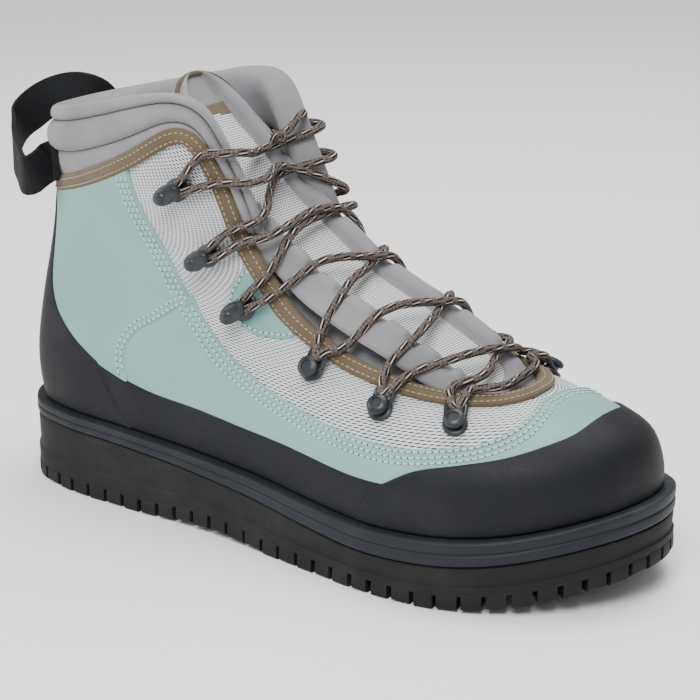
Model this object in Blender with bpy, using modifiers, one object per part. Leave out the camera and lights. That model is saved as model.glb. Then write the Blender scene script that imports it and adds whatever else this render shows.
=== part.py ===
"""A lace-up wading boot for the right foot, in metres: +X to the toe, +Y to the inner side, +Z up.

The origin lies on the floor under the middle of the heel. The upper and all that is sewn on it
come from one function, surface(), of how far round the foot and how high up the shaft a point is.
"""
import math

import bmesh
import bpy
import numpy as np
from mathutils import Matrix

MM = 0.001

# Sizes that can be set by themselves
LENGTH = 315 * MM
BALL_WIDTH = 126 * MM
UPPER_HEIGHT = 135 * MM
HEEL_STACK = 38 * MM
BALL_STACK = 28.5 * MM
TOE_SPRING = 15 * MM
ARCH_RISE = 2.5 * MM
HEEL_SETBACK = 50 * MM
UPPER_INSET = 7 * MM
WALL = 2.5 * MM
GAP = 0.3 * MM
MIDSOLE_HEEL = 6.5 * MM
MIDSOLE_BALL = 10 * MM
RIB_DEPTH = 1.8 * MM
LUG_DEPTH = 6 * MM
LUG_PITCH = 20 * MM
LUG_GAP = 2.6 * MM
LUG_REACH = 15 * MM
LUG_SINK = 2 * MM
INSOLE_THICKNESS = 4 * MM
INSOLE_CLEARANCE = 2.6 * MM
RUBBER_SKIN = 1.8 * MM
FABRIC_SKIN = 0.9 * MM
SEAM_GAP = 0.5 * MM
BINDING_WIDTH = 6.5 * MM
BINDING_THICKNESS = 1.2 * MM
COLLAR_PAD = 10 * MM
COLLAR_SKIRT = 16 * MM
COLLAR_BULGE = 3.2 * MM
TONGUE_HALF_WIDTH = 29 * MM
TONGUE_THICKNESS = 6 * MM
TONGUE_ROLL = 4.5 * MM
LACE_DIAMETER = 4.4 * MM
LACE_CLEARANCE = 0.6 * MM
KNOT_DIAMETER = 7.2 * MM
HOOK_LENGTH = 17 * MM
HOOK_WIDTH = 11 * MM
HOOK_PLATE = 1.6 * MM
HOOK_RISE = 9 * MM
LOOP_WIDTH = 18 * MM
LOOP_THICKNESS = 2.2 * MM

SHELL_COLUMNS = 15
SHELL_LIFT = 0.05          # of the grid's first row, left open over the sole
SOLE_STEPS = 38
TONGUE_STEPS = 15
LOOP_STEPS = 14
LACE_STEPS = 8

# along, outer side, inner side: the sole's half widths in plan, of LENGTH and BALL_WIDTH
PLAN = [
    (0.012, 0.20, 0.21), (0.05, 0.31, 0.315), (0.12, 0.372, 0.355), (0.22, 0.39, 0.345),
    (0.34, 0.40, 0.315), (0.46, 0.425, 0.315), (0.58, 0.468, 0.37), (0.69, 0.50, 0.455),
    (0.79, 0.478, 0.50), (0.88, 0.385, 0.45), (0.945, 0.255, 0.345), (0.985, 0.115, 0.215)]
TOE_TIP = 0.06

# back x, back rise, front x, front rise, outer width, inner width, roundness of each level
LEVELS = np.array([
    (0.022, 0.000, 0.974, 0.000, 1.000, 1.000, 0.00),
    (0.014, 0.090, 0.972, 0.080, 1.010, 1.010, 0.00),
    (0.011, 0.185, 0.958, 0.170, 0.990, 0.990, 0.05),
    (0.011, 0.280, 0.926, 0.235, 0.920, 0.930, 0.15),
    (0.013, 0.385, 0.880, 0.300, 0.830, 0.840, 0.30),
    (0.016, 0.480, 0.823, 0.345, 0.740, 0.750, 0.48),
    (0.019, 0.570, 0.755, 0.404, 0.665, 0.670, 0.65),
    (0.022, 0.650, 0.680, 0.497, 0.635, 0.635, 0.80),
    (0.024, 0.725, 0.605, 0.587, 0.635, 0.635, 0.92),
    (0.024, 0.800, 0.530, 0.698, 0.655, 0.655, 1.00),
    (0.024, 0.870, 0.470, 0.830, 0.685, 0.685, 1.00),
    (0.029, 0.926, 0.430, 1.000, 0.705, 0.705, 1.00),
    (0.038, 0.985, 0.405, 1.200, 0.700, 0.700, 1.00)])
OVAL_POWER = 0.85

# share, round, level: the shell's edge under the collar, from the heel to the front corner
COLLAR_LINE = np.array([
    (0.00, 0.000, 7.90), (0.22, 0.080, 8.50), (0.42, 0.150, 9.40), (0.60, 0.215, 10.25),
    (0.74, 0.262, 10.90), (0.84, 0.300, 11.25), (0.92, 0.330, 11.36), (1.00, 0.354, 11.20)])
# row, round, level: up the middle of the toe, then round the throat and up to the front corner
FRONT_LINE = np.array([
    (0, 0.500, 0.00), (1, 0.500, 1.32), (2, 0.500, 2.65), (3, 0.500, 3.98), (4, 0.500, 5.30),
    (5, 0.440, 5.24), (6, 0.393, 5.65), (7, 0.355, 6.02), (8, 0.329, 6.85), (9, 0.336, 8.20),
    (10, 0.364, 9.75), (11, 0.354, 11.20)])
VAMP_ROW = 4               # the row of FRONT_LINE where the throat begins
THROAT_PACE = 4.55         # rows of FRONT_LINE passed for each share past the front corner
# share, round, level: the rim of the collar pad, from the heel round to its front end
RIM = np.array([
    (0.00, 0.000, 11.80), (0.22, 0.080, 11.85), (0.42, 0.160, 11.90), (0.60, 0.232, 12.00),
    (0.74, 0.290, 12.00), (0.84, 0.328, 11.95), (0.92, 0.356, 11.80), (1.00, 0.380, 11.45)])

# along, rise: seams seen from the side, of LENGTH and of UPPER_HEIGHT over the sole's top edge
RAND_TOP = [(0.181, 0.200), (0.219, 0.177), (0.269, 0.160), (0.373, 0.152), (0.453, 0.147),
            (0.540, 0.147), (0.640, 0.144), (0.698, 0.143)]
COUNTER_TOP = [(0.030, 0.660), (0.036, 0.560), (0.060, 0.400), (0.085, 0.325), (0.125, 0.262),
               (0.181, 0.200)]
CAP_TOP = [(0.698, 0.143), (0.741, 0.193), (0.797, 0.215), (0.845, 0.226), (0.876, 0.238),
           (0.900, 0.250), (0.910, 0.268)]
PANEL_TOP = [(0.333, 0.480), (0.353, 0.445), (0.409, 0.357), (0.466, 0.309), (0.566, 0.265),
             (0.633, 0.253), (0.702, 0.246), (0.761, 0.254), (0.810, 0.269), (0.836, 0.296),
             (0.838, 0.323), (0.828, 0.340)]
QUARTER_FRONT = [(0.241, 0.850), (0.254, 0.740), (0.285, 0.629), (0.325, 0.505)]
QUARTER_TOP = 0.61         # share of the collar line where that seam meets the binding
REAR_SEAM = [(0.328, 0.470), (0.275, 0.376), (0.239, 0.311), (0.226, 0.256), (0.235, 0.180)]
PATCH = [(0.424, 0.610), (0.404, 0.570), (0.386, 0.506), (0.402, 0.452), (0.450, 0.436),
         (0.488, 0.450)]
PATCH_EDGE = (1.47, 1.73)  # where it meets the binding, as shares along the edge

# along, rise: the middle of the tongue's top side, from under the vamp to its upper end
TONGUE_LINE = [(0.795, 0.270), (0.746, 0.325), (0.676, 0.405), (0.641, 0.443), (0.584, 0.495),
               (0.514, 0.570), (0.476, 0.632), (0.429, 0.707), (0.400, 0.762), (0.359, 0.860),
               (0.337, 0.914), (0.305, 0.980), (0.279, 1.044), (0.252, 1.130)]
# across, height: the tongue's section, of TONGUE_HALF_WIDTH and of TONGUE_ROLL
TONGUE_SECTION = [(-1.00, -1.55), (-0.90, -0.30), (-0.80, 0.70), (-0.66, 1.00), (-0.52, 0.60),
                  (-0.44, 0.00), (0.00, 0.08), (0.44, 0.00), (0.52, 0.60), (0.66, 1.00),
                  (0.80, 0.70), (0.90, -0.30), (1.00, -1.55)]

# round, level, lift: where the hooks are riveted on, from the top down, and their seats over the
# shell, of GAP; the first three are open hooks, and the third sits on the patch
HOOKS = [(0.300, 9.95, 2), (0.278, 8.00, 2), (0.275, 6.35, 7), (0.306, 4.93, 6), (0.346, 4.18, 3),
         (0.394, 4.00, 2)]
OPEN_HOOKS = 3

# along, across, rise: the pull loop's middle line, of LENGTH, BALL_WIDTH and UPPER_HEIGHT
PULL_LINE = [(0.075, -0.262, 0.765), (0.030, -0.245, 0.762), (-0.020, -0.165, 0.775),
             (-0.064, -0.060, 0.820), (-0.074, 0.010, 0.875), (-0.056, 0.070, 0.935),
             (-0.020, 0.125, 0.985), (0.018, 0.175, 1.010), (0.050, 0.215, 1.010)]


# along, across, rise: the lace's loose end, from beside the knot over the inner edge
END_LINE = [(0.386, 0.102, 0.963), (0.390, 0.143, 0.993), (0.387, 0.190, 1.004),
            (0.376, 0.230, 0.993), (0.3635, 0.262, 0.981)]
KNOT_PLACE = (0.381, 0.063, 0.948)


def spline(knots, values, at):
    """A cubic through the rows of a table, with its slopes taken from the neighbouring rows."""
    knots = np.asarray(knots, float)
    values = np.asarray(values, float)
    at = np.asarray(at, float)
    step = np.diff(knots)[:, None]
    slope = np.diff(values, axis=0) / step
    inner = (slope[:-1] * step[1:] + slope[1:] * step[:-1]) / (step[1:] + step[:-1])
    tangent = np.vstack([slope[:1], inner, slope[-1:]])
    row = np.clip(np.searchsorted(knots, at, side="right") - 1, 0, len(knots) - 2)
    width = (knots[row + 1] - knots[row])[..., None]
    t = (at - knots[row])[..., None] / width
    return ((2 * t**3 - 3 * t**2 + 1) * values[row] + (t**3 - 2 * t**2 + t) * width * tangent[row]
            + (3 * t**2 - 2 * t**3) * values[row + 1] + (t**3 - t**2) * width * tangent[row + 1])


def smooth_line(points, count):
    """Evenly spaced points on a smooth curve through a short row of points."""
    points = np.asarray(points, float)
    run = np.r_[0, np.cumsum(np.linalg.norm(np.diff(points, axis=0), axis=1))]
    return spline(run, points, np.linspace(0, run[-1], count))


def unit(vectors):
    return vectors / np.maximum(np.linalg.norm(vectors, axis=-1), 1e-12)[..., None]


def plan(around, inset=0.0):
    """A point of the sole's outline: 0 at the heel, 0.5 at the toe, past it on the inner side."""
    rows = np.array(PLAN)
    outer = rows[:, [0, 1]] * [1, -1]
    inner = rows[::-1, [0, 2]]
    loop = np.vstack([[0, 0], outer, [1, TOE_TIP], inner, [0, 0]]) * [LENGTH, BALL_WIDTH]
    half = len(PLAN) + 1
    run = np.r_[0, np.cumsum(np.linalg.norm(np.diff(loop, axis=0), axis=1))]
    key = np.r_[0.5 * run[:half + 1] / run[half],
                0.5 + 0.5 * (run[half + 1:] - run[half]) / (run[-1] - run[half])]
    knots = np.r_[key[:-1] - 1, key[:-1], key + 1]
    values = np.vstack([loop[:-1], loop[:-1], loop])
    around = np.mod(around, 1)
    nudge = 1e-4
    along = spline(knots, values, around + nudge) - spline(knots, values, around - nudge)
    inwards = unit(np.stack([-along[..., 1], along[..., 0]], -1))
    return spline(knots, values, around) + inwards * inset


def sole_top(along):
    """Height of the sole's top edge at a share of its length."""
    rows = np.array([
        (0.00, HEEL_STACK), (0.20, HEEL_STACK - 1 * MM), (0.45, (HEEL_STACK + BALL_STACK) / 2),
        (0.70, BALL_STACK), (0.85, BALL_STACK + 0.25 * TOE_SPRING), (1.00, BALL_STACK + TOE_SPRING)])
    return spline(rows[:, 0], rows[:, 1:], np.clip(along, 0, 1))[..., 0]


def midsole_height(along):
    """The midsole band is thin at the heel and deeper from the ball forwards."""
    rows = np.array([(0.0, MIDSOLE_HEEL), (0.25, MIDSOLE_HEEL), (0.65, MIDSOLE_BALL), (1.0, MIDSOLE_BALL)])
    return spline(rows[:, 0], rows[:, 1:], np.clip(along, 0, 1))[..., 0]


def tread_height(along):
    """Height of the lugs' lower ends over the floor: flat heel and forefoot, arch and toe spring."""
    toe = np.clip((along - 0.74) / 0.26, 0, None)
    arch = np.clip(1 - ((along - 0.39) / 0.11)**2, 0, 1)
    heel = np.clip((0.05 - along) / 0.05, 0, 1)
    return TOE_SPRING * toe**2 + ARCH_RISE * arch + 2 * MM * heel**2


def base_surface(around, level):
    row = spline(np.arange(len(LEVELS)), LEVELS, level)
    back, back_rise, front, front_rise, outer, inner, oval = [row[..., i] for i in range(7)]
    foot = plan(around, UPPER_INSET)
    heel, toe = plan(np.array([0.0, 0.5]), UPPER_INSET)[:, 0]
    reach = BALL_WIDTH / 2 - UPPER_INSET
    turn = 2 * np.pi * around
    u = (foot[..., 0] - heel) / (toe - heel) * (1 - oval) + (1 - np.cos(turn)) / 2 * oval
    bow = -np.sign(np.sin(turn)) * np.abs(np.sin(turn))**OVAL_POWER
    v = foot[..., 1] / reach * (1 - oval) + bow * oval
    x = back + (front - back) * u
    rise = back_rise + (front_rise - back_rise) * np.clip(u, 0, 1)
    width = np.where(v < 0, outer, inner) * reach
    return np.stack([x * LENGTH - HEEL_SETBACK, v * width, sole_top(x) + rise * UPPER_HEIGHT], -1)


def surface(around, level, offset=0.0):
    """The upper's outer side, or a form larger or smaller than it by an offset along its normal."""
    around, level, offset = np.broadcast_arrays(*[np.asarray(a, float) for a in (around, level, offset)])
    return base_surface(around, level) + normal(around, level) * offset[..., None]


def normal(around, level):
    nudge = 1e-3
    top = len(LEVELS) - 1
    round_it = base_surface(around + nudge, level) - base_surface(around - nudge, level)
    up_it = (base_surface(around, np.clip(level + 5 * nudge, 0, top))
             - base_surface(around, np.clip(level - 5 * nudge, 0, top)))
    return unit(np.cross(round_it, up_it))


def over_the_heel(table, share):
    """Read a table of shares that starts at the heel, level across from the outer to the inner side."""
    rows = np.vstack([table[2:0:-1] * [-1, -1, 1], table])
    return spline(rows[:, 0], rows[:, 1:], share)


def edge_place(share):
    """Round and level on the shell's edge: 0 at the heel, 1 at a front corner, then down the throat.

    Below 0 it is the same on the inner side.
    """
    share = np.asarray(share, float)
    far = np.abs(share)
    line = over_the_heel(COLLAR_LINE, np.minimum(far, 1))
    row = FRONT_LINE[-1, 0] - np.clip(far - 1, 0, None) * THROAT_PACE
    front = spline(FRONT_LINE[:, 0], FRONT_LINE[:, 1:], row)
    place = np.where((far > 1)[..., None], front, line)
    place[..., 0] = np.where(share < 0, 1 - place[..., 0], place[..., 0])
    return place


def rim_place(share):
    """Round and level on the collar pad's rim, at the same shares as the shell's edge."""
    share = np.asarray(share, float)
    place = over_the_heel(RIM, np.abs(share))
    place[..., 0] = np.where(share < 0, 1 - place[..., 0], place[..., 0])
    return place


def edge_inwards(share):
    """The direction in the shell's surface that leads straight in from its edge."""
    nudge = 0.01
    place = edge_place(share)
    way = surface(*edge_place(share + nudge).T) - surface(*edge_place(share - nudge).T)
    return unit(np.cross(way, normal(place[..., 0], place[..., 1])))


def moved(place, vector):
    """Round and level of a place on the upper after a small step in metres along its surface."""
    nudge = 1e-3
    round_it = (base_surface(place[0] + nudge, place[1]) - base_surface(place[0] - nudge, place[1]))
    up_it = base_surface(place[0], place[1] + nudge) - base_surface(place[0], place[1] - nudge)
    step = np.linalg.lstsq(np.stack([round_it, up_it], -1) / (2 * nudge), vector, rcond=None)[0]
    return place + step


def half_shell():
    """Round and level of the shell's grid on the outer side: rows run up, columns heel to toe."""
    scale = np.array([45.0, 1.0])
    up = np.linspace(0, 1, len(FRONT_LINE))[:, None, None]
    over = np.linspace(0, 1, SHELL_COLUMNS + 1)
    bottom = np.stack([0.5 * (over - 0.35 * np.sin(2 * np.pi * over) / (2 * np.pi)), 0 * over], -1)
    top = over_the_heel(COLLAR_LINE, over)
    place = (1 - up) * bottom + up * top
    place[:, 0] = up[:, 0] * top[0]
    place[:, -1] = FRONT_LINE[:, 1:]
    place *= scale
    for _ in range(500):
        low, high, back, ahead = place[:-2, 1:-1], place[2:, 1:-1], place[1:-1, :-2], place[1:-1, 2:]
        rise, run = (high - low) / 2, (ahead - back) / 2
        twist = (place[2:, 2:] - place[2:, :-2] - place[:-2, 2:] + place[:-2, :-2]) / 4
        a, b, c = [(p * q).sum(-1, keepdims=True) for p, q in ((run, run), (rise, run), (rise, rise))]
        place[1:-1, 1:-1] = (a * (low + high) + c * (back + ahead) - 2 * b * twist) / (2 * (a + c))
    place[0] += (place[1] - place[0]) * SHELL_LIFT
    return place / scale


def side_points(table):
    """Seam points seen from the side, in metres: along X and up Z."""
    table = np.asarray(table, float)
    x = table[:, 0] * LENGTH - HEEL_SETBACK
    z = sole_top(table[:, 0]) + table[:, 1] * UPPER_HEIGHT
    return np.stack([x, z], -1)


def placed(table):
    """Points from shares along the boot, across it and up the shaft."""
    return np.asarray(table) * [LENGTH, BALL_WIDTH, UPPER_HEIGHT] + [-HEEL_SETBACK, 0, HEEL_STACK]


part = None
cutters = None


def link(obj, collection):
    collection.objects.link(obj)
    return obj


def make_material(name, colour, roughness, metallic=0.0):
    material = bpy.data.materials.new(name)
    material.use_nodes = True
    shader = material.node_tree.nodes["Principled BSDF"]
    shader.inputs["Base Color"].default_value = (*colour, 1)
    shader.inputs["Roughness"].default_value = roughness
    shader.inputs["Metallic"].default_value = metallic
    return material


def make_mesh(name, points, faces, material):
    mesh = bpy.data.meshes.new(name)
    mesh.from_pydata([tuple(p) for p in np.reshape(points, (-1, 3))], [], faces)
    mesh.update()
    mesh.materials.append(material)
    mesh.shade_smooth()
    mesh.set_sharp_from_angle(angle=math.radians(50))
    return mesh


def grid_faces(rows, columns):
    """Quads round a body between neighbouring rows, facing out where the columns run round it."""
    faces = []
    for low in range(0, (rows - 1) * columns, columns):
        for column in range(columns):
            after = (column + 1) % columns
            faces.append((low + column, low + after, low + columns + after, low + columns + column))
    return faces


def open_faces(rows, columns):
    """Triangles of an open grid, split the same way in every skin so that skins stay parallel."""
    faces = []
    for low in range(0, (rows - 1) * columns, columns):
        for column in range(low, low + columns - 1):
            above = column + columns
            faces += [(column, column + 1, above + 1), (column, above + 1, above)]
    return faces


def skin(name, offset, thickness, material):
    """The shell's grid at an offset, thickened outwards, or inwards by a negative thickness."""
    place = half_shell()
    rows, columns = place.shape[:2]
    outer = surface(place[..., 0], place[..., 1], offset)
    inner = surface(1 - place[..., 0], place[..., 1], offset)
    faces = open_faces(rows, columns)
    faces += [tuple(rows * columns + i for i in reversed(face)) for face in faces]
    mesh = make_mesh(name, np.concatenate([outer, inner]), faces, material)
    work = bmesh.new()
    work.from_mesh(mesh)
    bmesh.ops.remove_doubles(work, verts=work.verts, dist=0.01 * MM)
    work.to_mesh(mesh)
    work.free()
    obj = link(bpy.data.objects.new(name, mesh), part)
    wall = obj.modifiers.new("Wall", "SOLIDIFY")
    wall.thickness = abs(thickness)
    wall.offset = math.copysign(1, thickness)
    wall.use_even_offset = False
    return obj


def plate_between(name, rings, material):
    """A closed body between rings that run round the sole, its ends closed by strips across."""
    rings = np.asarray(rings)
    rows, columns = rings.shape[:2]
    faces = grid_faces(rows, columns)
    top = (rows - 1) * columns
    for step in range(columns // 2):
        one, two = step, step + 1
        back_one, back_two = (columns - one) % columns, columns - two
        strip = [one, two, back_two, back_one]
        if one == 0:
            strip = [one, two, back_two]
        elif two == back_two:
            strip = [one, two, back_one]
        faces.append(tuple(reversed(strip)))
        faces.append(tuple(top + i for i in strip))
    return link(bpy.data.objects.new(name, make_mesh(name, rings, faces, material)), part)


def tube_between(name, sections, material):
    """A closed body through sections that are closed loops, with flat ends."""
    sections = np.asarray(sections)
    rows, columns = sections.shape[:2]
    faces = grid_faces(rows, columns)
    faces.append(tuple(reversed(range(columns))))
    faces.append(tuple((rows - 1) * columns + i for i in range(columns)))
    return link(bpy.data.objects.new(name, make_mesh(name, sections, faces, material)), part)


def side_cutter(name, outline, near, far):
    """A prism across the boot with an outline seen from the side."""
    count = len(outline)
    points = [(x, near, z) for x, z in outline] + [(x, far, z) for x, z in outline]
    area = sum(outline[i][0] * outline[(i + 1) % count][1] - outline[(i + 1) % count][0] * outline[i][1]
               for i in range(count))
    ends = [tuple(range(count)), tuple(reversed(range(count, 2 * count)))]
    sides = [(i, i + count, (i + 1) % count + count, (i + 1) % count) for i in range(count)]
    faces = ends + sides
    if area < 0:
        faces = [tuple(reversed(face)) for face in faces]
    mesh = bpy.data.meshes.new(name)
    mesh.from_pydata(points, [], faces)
    mesh.update()
    cutter = link(bpy.data.objects.new(name, mesh), cutters)
    cutter.display_type = "WIRE"
    cutter.hide_render = True
    return cutter


def overlay(name, outline, side, thickness, material, solver="EXACT"):
    """A patch of the shell's own form, just off it, kept inside an outline seen from the side."""
    obj = skin(name, GAP, thickness, material)
    near, far = {"outer": (-BALL_WIDTH, -1 * MM), "inner": (1 * MM, BALL_WIDTH),
                 "both": (-BALL_WIDTH, BALL_WIDTH)}[side]
    cut = obj.modifiers.new("Outline", "BOOLEAN")
    cut.operation = "INTERSECT"
    cut.solver = solver
    cut.object = side_cutter(name + "_outline", outline, near, far)
    return obj


def ring_on_sole(at, inset, height):
    """Points round the sole's outline, drawn in by an inset, at heights that may vary along it."""
    points = plan(at, inset)
    height = np.broadcast_to(height(points[:, 0] / LENGTH) if callable(height) else height, at.shape)
    return np.stack([points[:, 0] - HEEL_SETBACK, points[:, 1], height], -1)


def box_from(corners_low, corners_high, collector):
    """Add a closed block with four corners below and four above to a bmesh."""
    low = [collector.verts.new(tuple(p)) for p in corners_low]
    high = [collector.verts.new(tuple(p)) for p in corners_high]
    collector.faces.new(tuple(reversed(low)))
    collector.faces.new(tuple(high))
    for i in range(4):
        j = (i + 1) % 4
        collector.faces.new((low[i], low[j], high[j], high[i]))


def lug(corners, collector):
    """One tread block under four corners seen from above, listed anticlockwise."""
    corners = np.asarray(corners, float)
    along = (corners[:, 0] + HEEL_SETBACK) / LENGTH
    low = np.column_stack([corners, tread_height(along)])
    high = np.column_stack([corners, tread_height(along) + LUG_DEPTH + LUG_SINK])
    box_from(low, high, collector)


def edge_lugs(collector):
    """Blocks all round the sole's edge, a narrow slot between each two."""
    for first, last in ((0.0, 0.5), (0.5, 1.0)):
        samples = plan(np.linspace(first, last, 100))
        length = np.linalg.norm(np.diff(samples, axis=0), axis=1).sum()
        count = int(round(length / LUG_PITCH))
        step = (last - first) / count
        half = 0.5 * step * (1 - LUG_GAP / LUG_PITCH)
        for number in range(count):
            middle = first + (number + 0.5) * step
            sides = np.array([middle - half, middle + half])
            outer = plan(sides, 0.0)
            inner = plan(sides[::-1], LUG_REACH)
            corners = np.vstack([outer, inner])
            lug(corners - [HEEL_SETBACK, 0], collector)


def centre_lugs(collector):
    """Slanted blocks inside the edge ones, one under the middle of the heel."""
    pitch = 1.32 * LUG_PITCH
    size = LUG_PITCH - LUG_GAP
    count = int((0.86 * LENGTH - HEEL_SETBACK) / pitch)
    for number in range(-1, count + 1):
        x = number * pitch
        along = (x + HEEL_SETBACK) / LENGTH
        rows = np.array(PLAN)
        outer, inner = [np.interp(along, rows[:, 0], rows[:, i]) * BALL_WIDTH for i in (1, 2)]
        room = min(outer, inner) - LUG_REACH - LUG_GAP
        sides = [0.0]
        if room > 1.5 * size:
            sides = [-room + size / 2, 0.0, room - size / 2]
        for y in sides:
            lean = 0.25 * size * np.sign(y)
            square = np.array([(-1, -1), (1, -1), (1, 1), (-1, 1)]) * [0.5 * size, 0.45 * size]
            square[:, 0] += lean * np.sign(square[:, 1])
            lug(square + [x, y], collector)


def outsole_top(along):
    return sole_top(along) - midsole_height(along) - 2 * GAP


def build_outsole(material):
    """The black tread: a side wall with a step, and lugs joined on below."""
    at = np.arange(SOLE_STEPS) / SOLE_STEPS
    rows = [(1.2 * MM, 0.0), (1.0 * MM, 0.30), (1.9 * MM, 0.38), (1.4 * MM, 0.90), (2.2 * MM, 1.0)]
    rings = []
    for inset, share in rows:
        def height(along, share=share):
            low = tread_height(along) + LUG_DEPTH
            return low + (outsole_top(along) - low) * share
        rings.append(ring_on_sole(at, inset, height))
    outsole = plate_between("outsole", rings, material)
    blocks = bmesh.new()
    edge_lugs(blocks)
    centre_lugs(blocks)
    mesh = bpy.data.meshes.new("lug_blocks")
    blocks.to_mesh(mesh)
    blocks.free()
    lugs = link(bpy.data.objects.new("lug_blocks", mesh), cutters)
    lugs.display_type = "WIRE"
    lugs.hide_render = True
    join = outsole.modifiers.new("Lugs", "BOOLEAN")
    join.operation = "UNION"
    join.use_self = True
    join.object = lugs
    return outsole


def build_midsole(material):
    """The charcoal band over the tread: two round ribs with a groove between them."""
    at = np.arange(SOLE_STEPS) / SOLE_STEPS
    rows = [(1.0, 0.0), (0.1, 0.12), (0.0, 0.28), (0.9, 0.44), (0.9, 0.52), (0.1, 0.64), (0.1, 0.84),
            (1.3, 1.0)]
    rings = []
    for depth, share in rows:
        def height(along, share=share):
            low = sole_top(along) - midsole_height(along) - GAP
            return low + (midsole_height(along)) * share
        rings.append(ring_on_sole(at, 0.8 * MM + depth * RIB_DEPTH, height))
    return plate_between("midsole", rings, material)


def build_insole(material):
    at = np.arange(SOLE_STEPS) / SOLE_STEPS
    inset = UPPER_INSET + WALL + INSOLE_CLEARANCE
    rings = [ring_on_sole(at, inset, lambda along, lift=lift: sole_top(along) + lift)
             for lift in (GAP, GAP + INSOLE_THICKNESS)]
    return plate_between("insole", rings, material)


def build_upper(material):
    """The shell: one hollow wall from the sole to the binding, open above, in front and below."""
    return skin("upper", 0.0, -WALL, material)


def binding_line(first, last, gap, count):
    """The binding's inner edge seen from the side, between two shares along the shell's edge."""
    share = np.linspace(first, last, count)
    spots = surface(*edge_place(share).T) + edge_inwards(share) * (BINDING_WIDTH + gap)
    return spots[:, [0, 2]]


def build_binding(material):
    """The tape sewn round the shell's whole top edge."""
    vamp = 1 + (FRONT_LINE[-1, 0] - VAMP_ROW) / THROAT_PACE
    line = np.vstack([binding_line(0, 1, 0, 7), binding_line(1.08, vamp, 0, 17)])
    sky = 2 * UPPER_HEIGHT
    outline = np.vstack([[-LENGTH, line[0, 1]], line, [line[-1, 0], sky], [-LENGTH, sky]])
    return overlay("binding", outline, "both", BINDING_THICKNESS, material, "MANIFOLD")


def build_overlays(rubber, fabric):
    """Toe cap, heel counter, side rands, and the green panels between them and the binding."""
    below = -0.1
    rand = side_points(RAND_TOP)
    counter = side_points(COUNTER_TOP)
    cap = side_points(CAP_TOP)
    floor_heel, floor_front = side_points([(0.245, below), (0.660, below)])
    gap_x = [SEAM_GAP, 0]
    back = side_points([(-0.05, 0.660), (-0.05, below)])
    overlay("heel_counter", np.vstack([smooth_line(counter, 8) - gap_x, floor_heel - gap_x, back[::-1]]),
            "both", RUBBER_SKIN, rubber)
    ahead = side_points([(1.1, 0.268), (1.1, below)])
    overlay("toe_cap", np.vstack([smooth_line(cap, 8) + gap_x, ahead, floor_front + gap_x]),
            "both", RUBBER_SKIN, rubber)
    strip = np.vstack([smooth_line(rand, 8), floor_front, floor_heel])
    for side in ("outer", "inner"):
        overlay("rand_" + side, strip, side, RUBBER_SKIN, rubber)

    lift = [0, SEAM_GAP]
    lower = np.vstack([side_points([(0.236, 0.169)]), smooth_line(rand, 8)[2:-1], smooth_line(cap, 8)])
    upper = smooth_line(side_points(PANEL_TOP), 11)
    rear = smooth_line(side_points(REAR_SEAM), 5)
    panel = np.vstack([lower + lift, upper[::-1], rear[1:-1] + gap_x])
    overlay("vamp_panel", panel, "both", FABRIC_SKIN, fabric)

    front = smooth_line(side_points(QUARTER_FRONT), 5)
    heel_line = smooth_line(counter, 8)
    under = binding_line(QUARTER_TOP, 0.10, SEAM_GAP, 5)
    quarter = np.vstack([heel_line[1:] + [SEAM_GAP, SEAM_GAP], rear[::-1] - gap_x, front[::-1], under])
    patch = np.vstack([smooth_line(side_points(PATCH), 8), binding_line(*PATCH_EDGE[::-1], SEAM_GAP, 5)])
    for side in ("outer", "inner"):
        overlay("quarter_" + side, quarter, side, FABRIC_SKIN, fabric)
        overlay("patch_" + side, patch, side, FABRIC_SKIN, fabric, "MANIFOLD")


def collar_section(share):
    """The pad's section at a share along the shell's edge: round, level and offset of each corner."""
    end = np.clip((1 - abs(share)) / 0.3, 0, 1)
    full = end * end * (3 - 2 * end)
    pad = COLLAR_PAD * (0.4 + 0.6 * full)
    skirt = COLLAR_SKIRT * (0.5 + 0.5 * full)
    bulge = COLLAR_BULGE * (0.3 + 0.7 * full)
    edge, rim = edge_place(share), rim_place(share)
    clear = -WALL - 3 * GAP
    above = [(0.12, 0.38 * bulge), (0.30, 0.95 * bulge), (0.48, 0.55 * bulge), (0.72, bulge),
             (0.94, 0.5 * bulge), (1.03, -0.18 * pad), (1.00, -0.60 * pad), (0.60, -1.05 * pad),
             (0.12, -pad)]
    corners = [(*(edge + (rim - edge) * rise), offset) for rise, offset in above]
    inwards = edge_inwards(share)
    for drop, offset in ((0.5 * skirt, -0.9 * pad), (skirt, clear - 1.5 * MM), (skirt, clear)):
        corners.append((*moved(edge, inwards * drop), offset))
    for offset in (clear, -0.5 * MM):
        corners.append((*(edge + (rim - edge) * 0.04), offset))
    return np.array(corners)


def build_collar(material):
    """The padded roll that stands over the shell's edge from one front corner round to the other."""
    shares = np.arange(-SHELL_COLUMNS, SHELL_COLUMNS + 1) / SHELL_COLUMNS
    sections = [surface(*collar_section(share).T) for share in shares]
    return tube_between("collar", np.array(sections)[:, ::-1], material)


def tongue_frame(share):
    """Middle point, direction up the tongue and outward direction at a share of its length."""
    line = side_points(TONGUE_LINE)
    run = np.r_[0, np.cumsum(np.linalg.norm(np.diff(line, axis=0), axis=1))]
    nudge = 0.01
    here, low, high = [spline(run, line, np.clip(share + d, 0, 1) * run[-1]) for d in (0, -nudge, nudge)]
    way = unit(high - low)
    return here, way, np.stack([way[..., 1], -way[..., 0]], -1)


def tongue_width(share):
    rows = np.array([(0.0, 0.74), (0.15, 0.96), (0.35, 1.0), (0.65, 0.96), (0.8, 0.82), (0.92, 0.72), (1.0, 0.62)])
    return TONGUE_HALF_WIDTH * spline(rows[:, 0], rows[:, 1:], share)[..., 0]


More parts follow.
